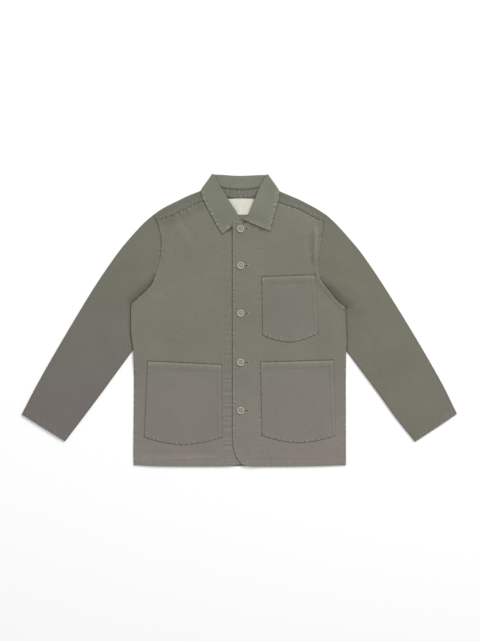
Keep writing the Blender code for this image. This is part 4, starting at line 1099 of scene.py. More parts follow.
def back_seams():
    """The leaf's seam and the neck seam, right round the back of the collar."""
    part = np.linspace(STAND_BACK_START, 1.0, BACK_COLUMNS)
    right, left = (back_of_collar(half, part)[2:] for half in HALVES)
    return [np.vstack([one, other[-2::-1]]) for one, other in zip(right, left)]


def make_stand_grids():
    """The stand, made as the leaf is."""
    made, (leaf_seam, neck_seam) = [], back_seams()
    t, part = (between(start, end, shares(count)) for start, end, count in (
        (STAND_START, STAND_END, STAND_COLUMNS), (STAND_BACK_START, 1.0, BACK_COLUMNS)))
    tt, share = t[:, None], shares(STAND_ROWS)
    for half in HALVES:
        d = between(leaf_inner_depth(tt) + STAND_SEAM_GAP, stand_neck_depth(tt), share)
        plan = between(half.leaf.roll.at(t)[:, None], half.leaf.free.at(t)[:, None], d[..., None])
        under_leaf = leaf_height(half, tt, d, plan) - LAYER
        on_front = front_base(half, plan) + LAYER + SIDE_RISE * smooth(tt, 0.6, 1.0)
        front = lifted(plan, between(under_leaf, np.minimum(on_front, under_leaf), share))
        _, _, seam, neck = back_of_collar(half, part)
        top = seam + unit(neck - seam) * SEAM
        back_plan = between(top[:, None], neck[:, None], share[None, :, None])
        relief, fade = sewn_relief(back_plan, Sewn(leaf_seam, 8.0, 0.36, 5.0, 81, STAND_SEWN),
                                   Sewn(neck_seam, 7.0, 0.4, 6.0, 84, STAND_SEWN))
        # the stand is painted darker all over as shade inside the neck, with painted shade beside the leaf's seam
        fade = fade - 0.5 + painted_shade_beside(back_plan, (leaf_seam, 1.3, 0.9))
        ends = smooth(np.abs(part - STAND_BACK_START), 0.0, 0.08)[:, None]
        strip = round_neck(half, front, lifted(back_plan, FLOOR + LAYER + (relief + 0.2) * ends))
        made.append(collar_grid(half, strip, 0, np.pad(fade, ((len(strip) - len(fade), 0), (0, 0))), WALL))
    return made


# Pockets
POCKET_EDGE = (0.0, 0.3, 0.8, 1.5, 2.3, 3.4, 4.8, 6.0, 6.9, 7.7, 8.6, 10.2, 12.4)
MOUTH_EDGE = (0.0, 0.3, 0.8, 1.5, 2.8, 5.0, 8.0, 11.5, 14.5, 16.4, 17.4, 18.2, 19.2, 21.4)
POCKET_STEP = 2.4
POCKET_ACROSS, POCKET_UP = 190.0, 200.0     # about, to count its grid lines
POCKET_ROWS, POCKET_BAND = (1.6, 7.4), 9.5
MOUTH_ROW, MOUTH_BAND = 17.6, 19.0
MOUTH_STAND = 1.0       # how far the mouth's edge stands off the front
POCKET_CREASES = {
    "pocket_chest": ((66, 104, 72, 20, 7, 0.35), (204, 96, 208, 10, 9, -0.3), (100, -38, 168, -42, 8, 0.3)),
    "pocket_hip_right": ((-242, -150, -246, -262, 10, 0.35), (-62, -160, -58, -290, 8, 0.45),
                         (-210, -318, -120, -324, 9, 0.3)),
    "pocket_hip_left": ((160, -318, 206, -278, 6, 0.55), (178, -324, 226, -284, 6.5, -0.45),
                        (204, -322, 240, -290, 6, 0.5), (70, -150, 72, -270, 9, 0.3)),
}


def pocket_foot(pocket, u):
    """The pocket's bottom edge, bowed down between its two corners."""
    bow = pocket.bow * (1.0 - np.abs(2.0 * u - 1.0) ** 1.7)
    return between(pocket.foot_left, pocket.foot_right, u[..., None]) - plan_of(0.0, bow)


def pocket_edges(pocket):
    """The sewn edge, down the left side, round the bottom and up the right side; and the mouth."""
    mouth = np.vstack([pocket.mouth_left, pocket.mouth_right])
    return np.vstack([mouth[0], pocket_foot(pocket, shares(50)), mouth[1]]), mouth


def pocket_surface(pocket, plan):
    """Middle of a pocket, lying on its front and slightly open, and its painted wear and shade."""
    rim, mouth = pocket_edges(pocket)
    relief, fade = sewn_relief(
        plan, Sewn(rim, 8.0, 0.08, 4.5, pocket.seed, POCKET_ROWS, POCKET_BAND, 0.3),
        Sewn(rim[1:-1], 8.4, 0.5, 6.5, pocket.seed + 1),
        Sewn(mouth, 11.0, 0.05, 6.0, pocket.seed + 2, (MOUTH_ROW,), MOUTH_BAND, 0.12))
    off, to_mouth = apart(plan, rim), apart(plan, mouth)
    open_here = smooth(off, 0.0, 50.0) * (0.45 + 0.55 * smooth(to_mouth, 0.0, 60.0))
    height = front_surface(pocket.half, plan)[0] + LAYER + POCKET_LOFT * open_here
    height = height + creased(plan, POCKET_CREASES[pocket.name]) * smooth(off, 1.0, 12.0)
    stand = MOUTH_STAND * smooth(off, 2.0, 30.0) * falling(to_mouth, 0.0, 26.0)
    # a painted highlight on the band just below the mouth
    return height + stand + np.maximum(relief, -0.2), fade + 0.45 * bump(to_mouth, 3.0, 4.0)


def make_pocket_grids(pocket):
    def run(start, end):
        return lambda part: between(start, end, part[..., None])

    plan = patch(near_lists(POCKET_EDGE, POCKET_EDGE, POCKET_STEP, POCKET_ACROSS),
                 near_lists(POCKET_EDGE, MOUTH_EDGE, POCKET_STEP, POCKET_UP),
                 run(pocket.foot_left, pocket.mouth_left), run(pocket.foot_right, pocket.mouth_right),
                 lambda u: pocket_foot(pocket, u), run(pocket.mouth_left, pocket.mouth_right))
    height, fade = pocket_surface(pocket, plan)
    off, to_mouth = (apart(plan, edge) for edge in pocket_edges(pocket))
    turned_in = np.maximum(banded(off, POCKET_BAND, 1.4), banded(to_mouth, MOUTH_BAND, 1.4))
    wall = edge_wall(edge_wall(WALL + 0.6 * turned_in, off), to_mouth)
    return [grid(lifted(plan, height - roll_down(off, 0.6)), fade, wall)]


# Label
LABEL_COLUMNS, LABEL_LINES = 46, 30
LABEL_BOW = 2.4         # its upper edge's middle above its ends
LABEL_WALL = 0.6
LABEL_GROOVE = 2.2      # its sewn groove's distance from the edges


def label_top(x):
    part = (x - LABEL_LEFT) / (LABEL_RIGHT - LABEL_LEFT)
    return LABEL_TOP + LABEL_BOW * (1.0 - (2.0 * part - 1.0) ** 2) - LABEL_BOW


def label_surface(plan):
    return back_height(plan) + WALL / 2.0 + 0.35 + undulate(plan, 95, 0.16, 26.0, 60.0) + 0.2


def make_label_grids():
    x = between(LABEL_LEFT, LABEL_RIGHT, shares(LABEL_COLUMNS))
    y = between(LABEL_FOOT, label_top(x), shares(LABEL_LINES)[:, None])
    plan = plan_of(x, y)
    edge = np.minimum(np.minimum(x - LABEL_LEFT, LABEL_RIGHT - x), np.minimum(y - LABEL_FOOT, label_top(x) - y))
    height = label_surface(plan) - 0.14 * bump(edge, LABEL_GROOVE, 1.0)
    return [grid(lifted(plan, height), 0.0, edge_wall(LABEL_WALL, edge))]


# Buttons: half of the section of one, from the middle of its top out and under
BUTTON_SECTION = (
    (0.0, 1.75), (2.6, 1.78), (3.6, 1.7), (4.1, 1.25), (4.8, 0.95), (5.8, 0.95), (6.3, 1.3), (6.8, 2.05),
    (7.3, 2.62), (7.9, 2.92), (8.6, 2.9), (9.1, 2.6), (9.4, 2.1), (9.5, 1.6), (9.3, 1.0), (8.6, 0.45), (7.2, 0.12),
    (5.0, 0.0), (0.0, 0.0))
BUTTON_SIDES = 48
BUTTON_TURNS = (8.0, -14.0, 5.0, 20.0, -9.0)    # degrees, from the collar down
BUTTON_MIDDLE = 1.8     # height of its middle, where the thread lies
GROOVE_PLACE = 5.3      # the groove round the middle, painted darker as shade
RIM_PLACE = 8.2         # the raised rim, painted lighter as a highlight
HOLES = (-1.45, 1.45)   # places of the four holes along X and along Y
HOLE_RADIUS = 0.85
THREAD_LIFT = 0.3
THREAD_TURNS = (-0.42, 0.0, 0.42)       # X of the turns of thread through one pair of holes
THREAD_RADIUS = 0.27 * MM


def around(count):
    """Angles spaced evenly round a circle."""
    return np.linspace(0.0, 2.0 * np.pi, count, endpoint=False)


def button_foot(y):
    """Height that a button lies at: the highest of the cloth under it."""
    rings = [plan_of(BUTTON_X + r * np.cos(around(24)), y + r * np.sin(around(24))) for r in (0.0, 4.0, 8.6)]
    return (front_surface(LEFT, np.vstack(rings))[0] + WALL / 2.0 + 0.1).max() - 0.15


def mesh_of(shape, name):
    """A bmesh as a plain mesh."""
    mesh = bpy.data.meshes.new(name)
    shape.to_mesh(mesh)
    shape.free()
    return mesh


def evaluated_copy(maker, name):
    """The evaluated object as a plain mesh, with its maker removed."""
    mesh = bpy.data.meshes.new_from_object(maker.evaluated_get(bpy.context.evaluated_depsgraph_get()))
    mesh.name = name
    bpy.data.objects.remove(maker, do_unlink=True)
    return mesh


def turned_solid(section, sides):
    """A turned shape from half of its section, closed at the poles, faces outwards."""
    shape, rings = bmesh.new(), []
    for radius, height in section:
        angles = around(sides) if radius else [0.0]
        rings.append([shape.verts.new((radius * math.cos(a), radius * math.sin(a), height)) for a in angles])
    for ring, lower in zip(rings, rings[1:]):
        for k in range(sides):
            corners = [ring[k % len(ring)], lower[k % len(lower)], lower[(k + 1) % len(lower)],
                       ring[(k + 1) % len(ring)]]
            shape.faces.new(list(dict.fromkeys(corners)))
    bmesh.ops.recalc_face_normals(shape, faces=shape.faces)
    return shape


def drilled_button(name, material):
    """A button at the origin, in millimetres, with its four holes cut."""
    disc = new_piece(name, mesh_of(turned_solid(BUTTON_SECTION, BUTTON_SIDES), name), material)
    drills = bmesh.new()
    for x in HOLES:
        for y in HOLES:
            bmesh.ops.create_cone(drills, cap_ends=True, segments=14, radius1=HOLE_RADIUS, radius2=HOLE_RADIUS,
                                  depth=8.0, matrix=Matrix.Translation((x, y, 1.0)))
    drill = new_piece(name + "_holes", mesh_of(drills, name + "_holes"), material)
    cut = disc.modifiers.new("holes", "BOOLEAN")
    cut.operation, cut.object, cut.solver = "DIFFERENCE", drill, "EXACT"
    done = evaluated_copy(disc, name)
    bpy.data.objects.remove(drill, do_unlink=True)
    return done


def make_button(number, material):
    """A finished button in its place, and that place."""
    name, y = "resin_button_%d" % number, BUTTON_ROWS[number - 1]
    mesh = drilled_button(name, material)
    x_off, y_off = np.array([v.co[:2] for v in mesh.vertices]).T
    from_middle = np.hypot(x_off, y_off)
    from_hole = np.hypot(np.abs(x_off) - HOLES[1], np.abs(y_off) - HOLES[1])
    # painted light: a highlight on the rim, and shade in the groove and the holes
    worn = smooth(from_middle, RIM_PLACE - 1.2, RIM_PLACE) - 1.2 * bump(from_middle, GROOVE_PLACE, 1.1) \
        - 1.6 * (from_hole < HOLE_RADIUS + 0.1)
    mesh.attributes.new("worn", "FLOAT", "POINT").data.foreach_set("value", worn.astype(np.float32))
    place = Matrix.Translation((BUTTON_X * MM, y * MM, button_foot(y) * MM))
    turn = Matrix.Rotation(math.radians(BUTTON_TURNS[number - 1]), 4, "Z")
    mesh.transform(place @ turn @ Matrix.Diagonal((MM, MM, MM, 1.0)))
    mesh.shade_smooth()
    mesh.set_sharp_from_angle(angle=math.radians(50.0))
    return new_piece(name, mesh, material), place @ turn


def tube(shape, points, radius, sides=8, narrow=0.55):
    """A closed tube of thread along a run of points, with ends of a share of its radius."""
    points = np.asarray(points, float)
    ahead = unit(np.gradient(points, axis=0))
    side = np.cross(ahead, (0.0, 0.0, 1.0))
    side /= np.maximum(np.linalg.norm(side, axis=1), 1e-9)[:, None]
    rings = []
    for k, (p, s, a) in enumerate(zip(points, side, np.cross(side, ahead))):
        size = radius * (narrow if k in (0, len(points) - 1) else 1.0)
        rings.append([shape.verts.new(p + size * (math.cos(t) * s + math.sin(t) * a)) for t in around(sides)])
    for ring, other in zip(rings, rings[1:]):
        for k in range(sides):
            shape.faces.new((ring[k], ring[(k + 1) % sides], other[(k + 1) % sides], other[k]))
    shape.faces.new(rings[0][::-1])
    shape.faces.new(rings[-1])


def thread_tubes(name, runs, radius, material):
    """Tubes of thread along runs of points in metres, as one piece."""
    shape = bmesh.new()
    for run in runs:
        tube(shape, run, radius)
    bmesh.ops.recalc_face_normals(shape, faces=shape.faces)
    mesh = mesh_of(shape, name)
    mesh.shade_smooth()
    return new_piece(name, mesh, material)


def button_thread(places, material):
    """The thread that holds the buttons: three turns through each pair of holes."""
    y = np.linspace(HOLES[0] - 0.1, HOLES[1] + 0.1, 9)
    part = np.abs(y) / HOLES[1]
    z = BUTTON_MIDDLE + THREAD_LIFT + 0.12 * (1.0 - part ** 2) - 1.6 * smooth(part, 0.72, 1.07)
    runs = [[place @ Vector(p) for p in lifted(plan_of(x + off * (1.0 - 0.35 * part), y), z) * MM]
            for place in places for x in HOLES for off in THREAD_TURNS]
    return thread_tubes("button_thread", runs, THREAD_RADIUS, material)


def add_node(tree, kind, settings=None, inputs=None):
    """A node with its settings, its values and its links; a node given as a value stands for its first output."""
    node = tree.nodes.new(kind)
    for name, value in (settings or {}).items():
        setattr(node, name, value)
    for name, value in (inputs or {}).items():
        value = value.outputs[0] if isinstance(value, bpy.types.Node) else value
        if isinstance(value, bpy.types.NodeSocket):
            tree.links.new(value, node.inputs[name])
        else:
            node.inputs[name].default_value = value
    return node


# Stitching
def beside(line, off, start=0.0, end=1.0, away_from=(0.0, 0.0)):
    """A run of plan points a set distance inside a line, towards a spot."""
    points = line.at(np.linspace(start, end, max(6, int(abs(end - start) * line.length / 2.0))))
    return points - outward_normals(points, away_from) * off


def stitch_tree(name):
    """Rows of stitches: one small spindle of thread at each step of a row, along it or across it."""
    tree = bpy.data.node_groups.new(name, "GeometryNodeTree")
    for word, way, kind, *value in (
            ("Rows", "INPUT", "Geometry"), ("Pitch", "INPUT", "Float", 0.0031),
            ("Length", "INPUT", "Float", 0.0025), ("Thickness", "INPUT", "Float", 0.0006),
            ("Turn", "INPUT", "Float", 0.0), ("Unevenness", "INPUT", "Float", 0.12), ("Seed", "INPUT", "Int", 4),
            ("Thread", "INPUT", "Material"), ("Stitches", "OUTPUT", "Geometry")):
        socket = tree.interface.new_socket(word, in_out=way, socket_type="NodeSocket" + kind)
        if value:
            socket.default_value = value[0]
    add = partial(add_node, tree)
    given = add("NodeGroupInput").outputs
    steps = add("GeometryNodeResampleCurve", {"mode": "LENGTH"}, {
        "Curve": add("GeometryNodeMeshToCurve", inputs={"Mesh": given["Rows"]}), "Length": given["Pitch"]})
    along = add("FunctionNodeAlignRotationToVector", {"axis": "X"}, {"Vector": add("GeometryNodeInputTangent")})
    chance = add("FunctionNodeRandomValue", {"data_type": "FLOAT"}, {"Min": -1.0, "Max": 1.0, "Seed": given["Seed"]})
    uneven = add("ShaderNodeMath", {"operation": "MULTIPLY"}, {0: chance.outputs["Value"], 1: given["Unevenness"]})
    angle = add("ShaderNodeMath", {"operation": "ADD"}, {0: uneven, 1: given["Turn"]})
    turn = add("FunctionNodeAxisAngleToRotation", inputs={"Axis": (0.0, 0.0, 1.0), "Angle": angle})
    placed = add("FunctionNodeRotateRotation", {"rotation_space": "LOCAL"}, {"Rotation": along, "Rotate By": turn})
    size = add("ShaderNodeCombineXYZ", inputs={"X": given["Length"], "Y": given["Thickness"], "Z": given["Thickness"]})
    more = add("ShaderNodeMath", {"operation": "ADD"}, {0: uneven, 1: 1.0})
    sized = add("ShaderNodeVectorMath", {"operation": "SCALE"}, {0: size, "Scale": more})
    spindle = add("GeometryNodeMeshUVSphere", inputs={"Segments": 6, "Rings": 4, "Radius": 0.5})
    level = add("GeometryNodeTransform", inputs={"Geometry": spindle, "Rotation": (0.0, math.radians(90.0), 0.0)})
    laid = add("GeometryNodeInstanceOnPoints", inputs={
        "Points": steps, "Instance": level, "Rotation": placed, "Scale": sized})
    real = add("GeometryNodeRealizeInstances", inputs={"Geometry": laid})
    soft = add("GeometryNodeSetShadeSmooth", inputs={0: real})
    done = add("GeometryNodeSetMaterial", inputs={"Geometry": soft, "Material": given["Thread"]})
    add("NodeGroupOutput", inputs={"Stitches": done})
    return tree


def sewn_rows(name, tree, rows, material, **sizes):
    """Stitches along rows of points, given in millimetres, as one plain mesh."""
    points, edges = [], []
    for row in rows:
        edges.extend((len(points) + k, len(points) + k + 1) for k in range(len(row) - 1))
        points.extend(tuple(p * MM for p in spot) for spot in row)
    mesh = bpy.data.meshes.new(name + "_rows")
    mesh.from_pydata(points, edges, [])
    maker = bpy.data.objects.new(name + "_rows", mesh)
    bpy.context.scene.collection.objects.link(maker)
    sewing = maker.modifiers.new("stitches", "NODES")
    sewing.node_group = tree
    given = {item.name: item.identifier for item in tree.interface.items_tree if item.in_out == "INPUT"}
    for word, value in dict(sizes, Thread=material).items():
        sewing[given[word]] = value
    return new_piece(name, evaluated_copy(maker, name), material)


# Materials
def linear(hex_colour):
    """An sRGB hex colour as linear RGBA."""
    parts = [int(hex_colour.lstrip("#")[k:k + 2], 16) / 255.0 for k in (0, 2, 4)]
    return tuple(p / 12.92 if p <= 0.04045 else ((p + 0.055) / 1.055) ** 2.4 for p in parts) + (1.0,)


def blank_material(name):
    """A new material without nodes, and add_node for its tree."""
    material = bpy.data.materials.new(name)
    material.use_nodes = True
    material.node_tree.nodes.clear()
    return material, partial(add_node, material.node_tree)


THREAD_MM = 0.85        # one warp or weft thread of the canvas, drawn at about twice its real 0.45 mm to show
SLUB_MM = (1.7, 26.0)   # thick places in the threads: across and along them
MOTTLE_MM = 7.0         # the blotchy look of pigment that has washed out unevenly
WASH_MM = 120.0         # wide clouds of more and less faded cloth
TWIST_MM = 0.7          # of the sewing thread; the real one of 0.3 mm is too fine to show
RIB_MM = 0.6            # from rib to rib of the label, about twice the real spacing, so that they show
SOIL_MM = 9.0           # blotches of the label
STREAK_MM = 2.4         # across the streaks of the buttons
BODY_DRIFT = (-0.34, -0.04)     # Y in metres between which the cloth drifts from its lower to its upper colour
SLEEVE_DRIFT = (-0.25, 0.1)
POCKET_DRIFT = (-0.2, 0.0)


def washed_canvas(name, chest, hem, drift=BODY_DRIFT):
    """Plain-woven cotton canvas, garment-dyed and washed until dull: matte, slightly blotchy, with the high spots of
    seams painted pale, partly as rubbed wear and partly as painted highlight, and the grooves beside them painted
    dark, partly as dye held in them and partly as painted shade."""
    material, add = blank_material(name)
    cloth = add("ShaderNodeUVMap", {"uv_map": "cloth"})
    place = add("ShaderNodeTexCoord").outputs["Object"]
    angles = add("ShaderNodeVectorMath", {"operation": "SCALE"}, {0: cloth, "Scale": math.pi / (THREAD_MM * MM)})
    split = add("ShaderNodeSeparateXYZ", inputs={0: angles}).outputs
    over, under = (add("ShaderNodeMath", {"operation": "SINE"}, {0: split[axis]}) for axis in "XY")
    weave = add("ShaderNodeMath", {"operation": "MULTIPLY"}, {0: over, 1: under})
    slubs = []
    for across, along in (SLUB_MM, SLUB_MM[::-1]):
        stretched = add("ShaderNodeVectorMath", {"operation": "MULTIPLY"},
                        {0: cloth, 1: (1.0 / (across * MM), 1.0 / (along * MM), 1.0)})
        slubs.append(add("ShaderNodeTexNoise", {"noise_dimensions": "2D"},
                         {"Vector": stretched, "Scale": 1.0, "Detail": 1.0}))
    slub = add("ShaderNodeMath", {"operation": "ADD"}, dict(enumerate(slubs)))
    mottle = add("ShaderNodeTexNoise", {"noise_dimensions": "3D"},
                 {"Vector": place, "Scale": 1.0 / (MOTTLE_MM * MM), "Detail": 3.0, "Roughness": 0.65})
    wash = add("ShaderNodeTexNoise", {"noise_dimensions": "3D"},
               {"Vector": place, "Scale": 1.0 / (WASH_MM * MM), "Detail": 2.0})
    # painted shade and highlight from each point's attribute: shade beside edges, under laps and in hollows, highlight
    # on crests and ridges, mixed with rubbed wear
    wear_and_shade_value = add("ShaderNodeAttribute", {"attribute_name": "fade"}).outputs["Fac"]
    # lightness: 1 plus what each of these adds or takes
    light = None
    for source, low, high, less, more in (
            (weave, -1.0, 1.0, 0.965, 1.035), (slub, 0.6, 1.4, -0.05, 0.05), (mottle, 0.25, 0.75, -0.03, 0.03),
            (wash, 0.3, 0.7, -0.035, 0.035), (wear_and_shade_value, -1.6, 2.2, -0.52, 0.7)):
        part = add("ShaderNodeMapRange", inputs={
            "Value": source, "From Min": low, "From Max": high, "To Min": less, "To Max": more})
        light = part if light is None else add("ShaderNodeMath", {"operation": "ADD"}, {0: light, 1: part})
    up = add("ShaderNodeSeparateXYZ", inputs={0: place}).outputs["Y"]
    down = add("ShaderNodeMapRange", inputs={"Value": up, "From Min": drift[0], "From Max": drift[1]})
    colour = add("ShaderNodeMix", {"data_type": "RGBA"}, {"Factor": down, "A": linear(hem), "B": linear(chest)})
    shaded = add("ShaderNodeVectorMath", {"operation": "SCALE"}, {0: colour.outputs["Result"], "Scale": light})
    grain = add("ShaderNodeMath", {"operation": "MULTIPLY_ADD"}, {0: slub, 1: 0.8, 2: weave})
    relief = add("ShaderNodeBump", inputs={"Strength": 0.5, "Distance": 0.00012, "Height": grain})
    crumple = add("ShaderNodeBump", inputs={
        "Strength": 0.35, "Distance": 0.0009, "Height": mottle, "Normal": relief})
    shader = add("ShaderNodeBsdfPrincipled", inputs={
        "Base Color": shaded, "Roughness": 0.92, "Specular IOR Level": 0.25, "Sheen Weight": 0.12,
        "Sheen Roughness": 0.5, "Normal": crumple})
    add("ShaderNodeOutputMaterial", inputs={"Surface": shader})
    return material


def cotton_thread(name, colour):
    """Spun cotton sewing thread dyed with the cloth: matte, a shade paler than it, with a fine twist."""
    material, add = blank_material(name)
    place = add("ShaderNodeTexCoord").outputs["Object"]
    fibres = add("ShaderNodeTexNoise", {"noise_dimensions": "3D"},
                 {"Vector": place, "Scale": 1.0 / (TWIST_MM * MM), "Detail": 1.0})
    part = add("ShaderNodeMapRange", inputs={
        "Value": fibres, "From Min": 0.3, "From Max": 0.7, "To Min": 0.82, "To Max": 1.14})
    shaded = add("ShaderNodeVectorMath", {"operation": "SCALE"}, {0: linear(colour)[:3], "Scale": part})
    relief = add("ShaderNodeBump", inputs={"Strength": 0.4, "Distance": 0.0001, "Height": fibres})
    shader = add("ShaderNodeBsdfPrincipled", inputs={
        "Base Color": shaded, "Roughness": 0.8, "Sheen Weight": 0.1, "Normal": relief})
    add("ShaderNodeOutputMaterial", inputs={"Surface": shader})
    return material


def woven_label(name, colour):
    """Close-woven cotton tape: cream, smoother and tighter than the canvas, with fine crosswise ribs."""
    material, add = blank_material(name)
    cloth = add("ShaderNodeUVMap", {"uv_map": "cloth"})
    along = add("ShaderNodeSeparateXYZ", inputs={0: cloth}).outputs["Y"]
    ribs = add("ShaderNodeMath", {"operation": "MULTIPLY"}, {0: along, 1: 2.0 * math.pi / (RIB_MM * MM)})
    rib = add("ShaderNodeMath", {"operation": "SINE"}, {0: ribs})
    soil = add("ShaderNodeTexNoise", {"noise_dimensions": "2D"},
               {"Vector": cloth, "Scale": 1.0 / (SOIL_MM * MM), "Detail": 3.0})
    tone = add("ShaderNodeMapRange", inputs={
        "Value": soil, "From Min": 0.3, "From Max": 0.7, "To Min": 0.94, "To Max": 1.03})
    ribbed = add("ShaderNodeMath", {"operation": "MULTIPLY_ADD"}, {0: rib, 1: 0.02, 2: tone})
    shaded = add("ShaderNodeVectorMath", {"operation": "SCALE"}, {0: linear(colour)[:3], "Scale": ribbed})
    relief = add("ShaderNodeBump", inputs={"Strength": 0.4, "Distance": 0.0001, "Height": rib})
    shader = add("ShaderNodeBsdfPrincipled", inputs={
        "Base Color": shaded, "Roughness": 0.75, "Sheen Weight": 0.1, "Normal": relief})
    add("ShaderNodeOutputMaterial", inputs={"Surface": shader})
    return material


def tumbled_resin(name, colour):
    """Cast urea resin turned into buttons and tumbled: an even body colour with faint streaks, and a soft
    satin gloss that catches the light on the rim."""
    material, add = blank_material(name)
    place = add("ShaderNodeTexCoord").outputs["Object"]
    long = add("ShaderNodeVectorMath", {"operation": "MULTIPLY"}, {0: place, 1: (1.0, 0.22, 1.0)})
    streaks = add("ShaderNodeTexNoise", {"noise_dimensions": "3D"},
                  {"Vector": long, "Scale": 1.0 / (STREAK_MM * MM), "Detail": 3.0, "Distortion": 0.4})
    tone, gloss = (add("ShaderNodeMapRange", inputs={
        "Value": streaks, "From Min": 0.3, "From Max": 0.7, "To Min": less, "To Max": more})
        for less, more in ((0.86, 1.1), (0.38, 0.52)))
    # the buttons' painted light: a highlight on the rim, and shade in the groove and the holes
    worn = add("ShaderNodeAttribute", {"attribute_name": "worn"}).outputs["Fac"]
    tone_with_painted_light = add("ShaderNodeMath", {"operation": "MULTIPLY_ADD"}, {0: worn, 1: 0.4, 2: tone})
    shaded = add("ShaderNodeVectorMath", {"operation": "SCALE"}, {0: linear(colour)[:3], "Scale": tone_with_painted_light})
    shader = add("ShaderNodeBsdfPrincipled", inputs={"Base Color": shaded, "Roughness": gloss, "IOR": 1.5})
    add("ShaderNodeOutputMaterial", inputs={"Surface": shader})
    return material


def plain_floor(name):
    """Matte white paper sweep that lights the jacket's edges a little from below."""
    material, add = blank_material(name)
    place = add("ShaderNodeTexCoord").outputs["Object"]
    fibre = add("ShaderNodeTexNoise", {"noise_dimensions": "3D"}, {"Vector": place, "Scale": 220.0})
    relief = add("ShaderNodeBump", inputs={"Strength": 0.05, "Distance": 0.0002, "Height": fibre})
    shader = add("ShaderNodeBsdfPrincipled", inputs={
        "Base Color": linear("#FBFBFB"), "Roughness": 0.9, "Specular IOR Level": 0.1, "Normal": relief})
    add("ShaderNodeOutputMaterial", inputs={"Surface": shader})
    return material


# Each finish: what makes it, the panel's colours it is made from, and the rest of what it needs
FINISHES = {
    "washed canvas": (washed_canvas, ("chest", "hem")),
    "washed canvas, right sleeve": (washed_canvas, ("sleeve_right", "cuff_right"), SLEEVE_DRIFT),
    "washed canvas, left sleeve": (washed_canvas, ("sleeve_left", "cuff_left"), SLEEVE_DRIFT),
    "washed canvas, collar": (washed_canvas, ("collar", "collar")),
    "washed canvas, pockets": (washed_canvas, ("pocket", "hip_pocket"), POCKET_DRIFT),
    "cotton thread": (cotton_thread, ("thread",)),
    "button thread": (cotton_thread, ("button_thread",)),
    "buttonhole thread": (cotton_thread, ("hole_thread",)),
    # dark tubes of painted shadow in the buttonhole slits
    "shaded thread": (cotton_thread, ("slit",)),
    "woven label": (woven_label, ("label",)),
    "label thread": (cotton_thread, ("label",)),
    "tumbled resin": (tumbled_resin, ("button",)),
    "white sweep": (plain_floor, ()),
}


def finish_of(name):
    """The finish of this name, made from the panel's colours when it is first asked for."""
    if name in bpy.data.materials:
        return bpy.data.materials[name]
    maker, colours, *rest = FINISHES[name]
    return maker(name, *(getattr(bpy.context.scene.jacket_looks, colour) for colour in colours), *rest)


# Rows of stitches on the pieces
STITCH_LIFT, FRONT_LIFT = 0.14, 0.16    # middle of a stitch over the cloth, and over the fronts,
HEM_LIFT, EDGE_LIFT = 0.25, 0.1         # and how much more it stands off along their thick edges
HEM_START = {"right": 0.14, "left": 0.0}        # where the hem's row starts, as a fraction of the hem
EDGE_RUN, FACING_RUN = (-378.0, 262.5), (-377.0, 236.0)         # Y of the ends of the rows up the fronts
CUFF_START, CUFF_END = 0.015, 0.985     # ends of the cuff's row, as fractions of the cuff
LEAF_START, LEAF_END = 0.16, 0.94       # of the collar's row: across its front end, and along its free edge
TACK_INSET, TACK_RUN = 4.0, (1.2, 10.5)         # a pocket's bar tacks: in from its corner, and down from it
HOLE_START, HOLE_END = 6.0, 25.0        # X of a buttonhole's ends, from the button's middle outwards
HOLE_RIM = 1.9                          # its satin stitches' middle, from the slit
SLIT_RADIUS = 1.15 * MM
SATIN_SIZES = {"Pitch": 0.00062, "Length": 0.0021, "Thickness": 0.00095, "Turn": math.pi / 2.0, "Unevenness": 0.08}


def on_front(half, plan, lift=0.0):
    """Points of a stitch row on a front's upper face."""
    return lifted(plan, front_surface(half, plan)[0] + WALL / 2.0 + FRONT_LIFT + lift)


def front_rows():
    """Hems, armholes, the left front's button edge, and the right front's facing."""
    rows = []
    for half in HALVES:
        plan = beside(half.hem, HEM_ROW, HEM_START[half.word])
        keep = np.abs(plan[:, 0]) < np.abs(body_edge(half, plan[:, 1])) - 2.0
        rows.append(on_front(half, plan[keep], HEM_LIFT))
        for off in ARM_ROWS:
            plan = beside(half.armhole, off)
            keep = (apart(plan, half.side) > 1.5) & (apart(plan, half.seam) > 1.0)
            keep &= plan[:, 1] > half.armhole.first[1] - 6.0
            rows.append(on_front(half, plan[keep], EDGE_LIFT))
    plan = beside(LEFT.edge, EDGE_STITCH, 0.02, 1.0, (100.0, 0.0))
    rows.append(on_front(LEFT, plan[(plan[:, 1] > EDGE_RUN[0]) & (plan[:, 1] < EDGE_RUN[1])], EDGE_LIFT))
    return rows + [on_front(RIGHT, plan_of(FACING_X["right"], np.linspace(*FACING_RUN, 300)))]


def shoulder_rows():
    rows = []
    for half in HALVES:
        for off in STRIP_SEWN:
            points = half.seam.at(shares(90))
            plan = points + outward_normals(points) * off
            plan = plan[np.abs(plan[:, 0]) < np.abs(half.shoulder.last[0]) - 7.0]
            rows.append(lifted(plan, strip_surface(half, plan)[0] + STRIP_WALL / 2.0 + STITCH_LIFT))
    return rows


def cuff_rows():
    rows = []
    for half in HALVES:
        start, end = cuff_line(half)
        way = (end - start) / np.linalg.norm(end - start)
        up = np.array([-way[1], way[0]])
        part = np.linspace(CUFF_START, CUFF_END, 80)
        plan = between(start, end, part[:, None]) + (up if up[1] > 0 else -up) * CUFF_ROW
        rows.append(lifted(plan, sleeve_surface(half, plan, part)[0] + WALL / 2.0 + 0.25))
    return rows


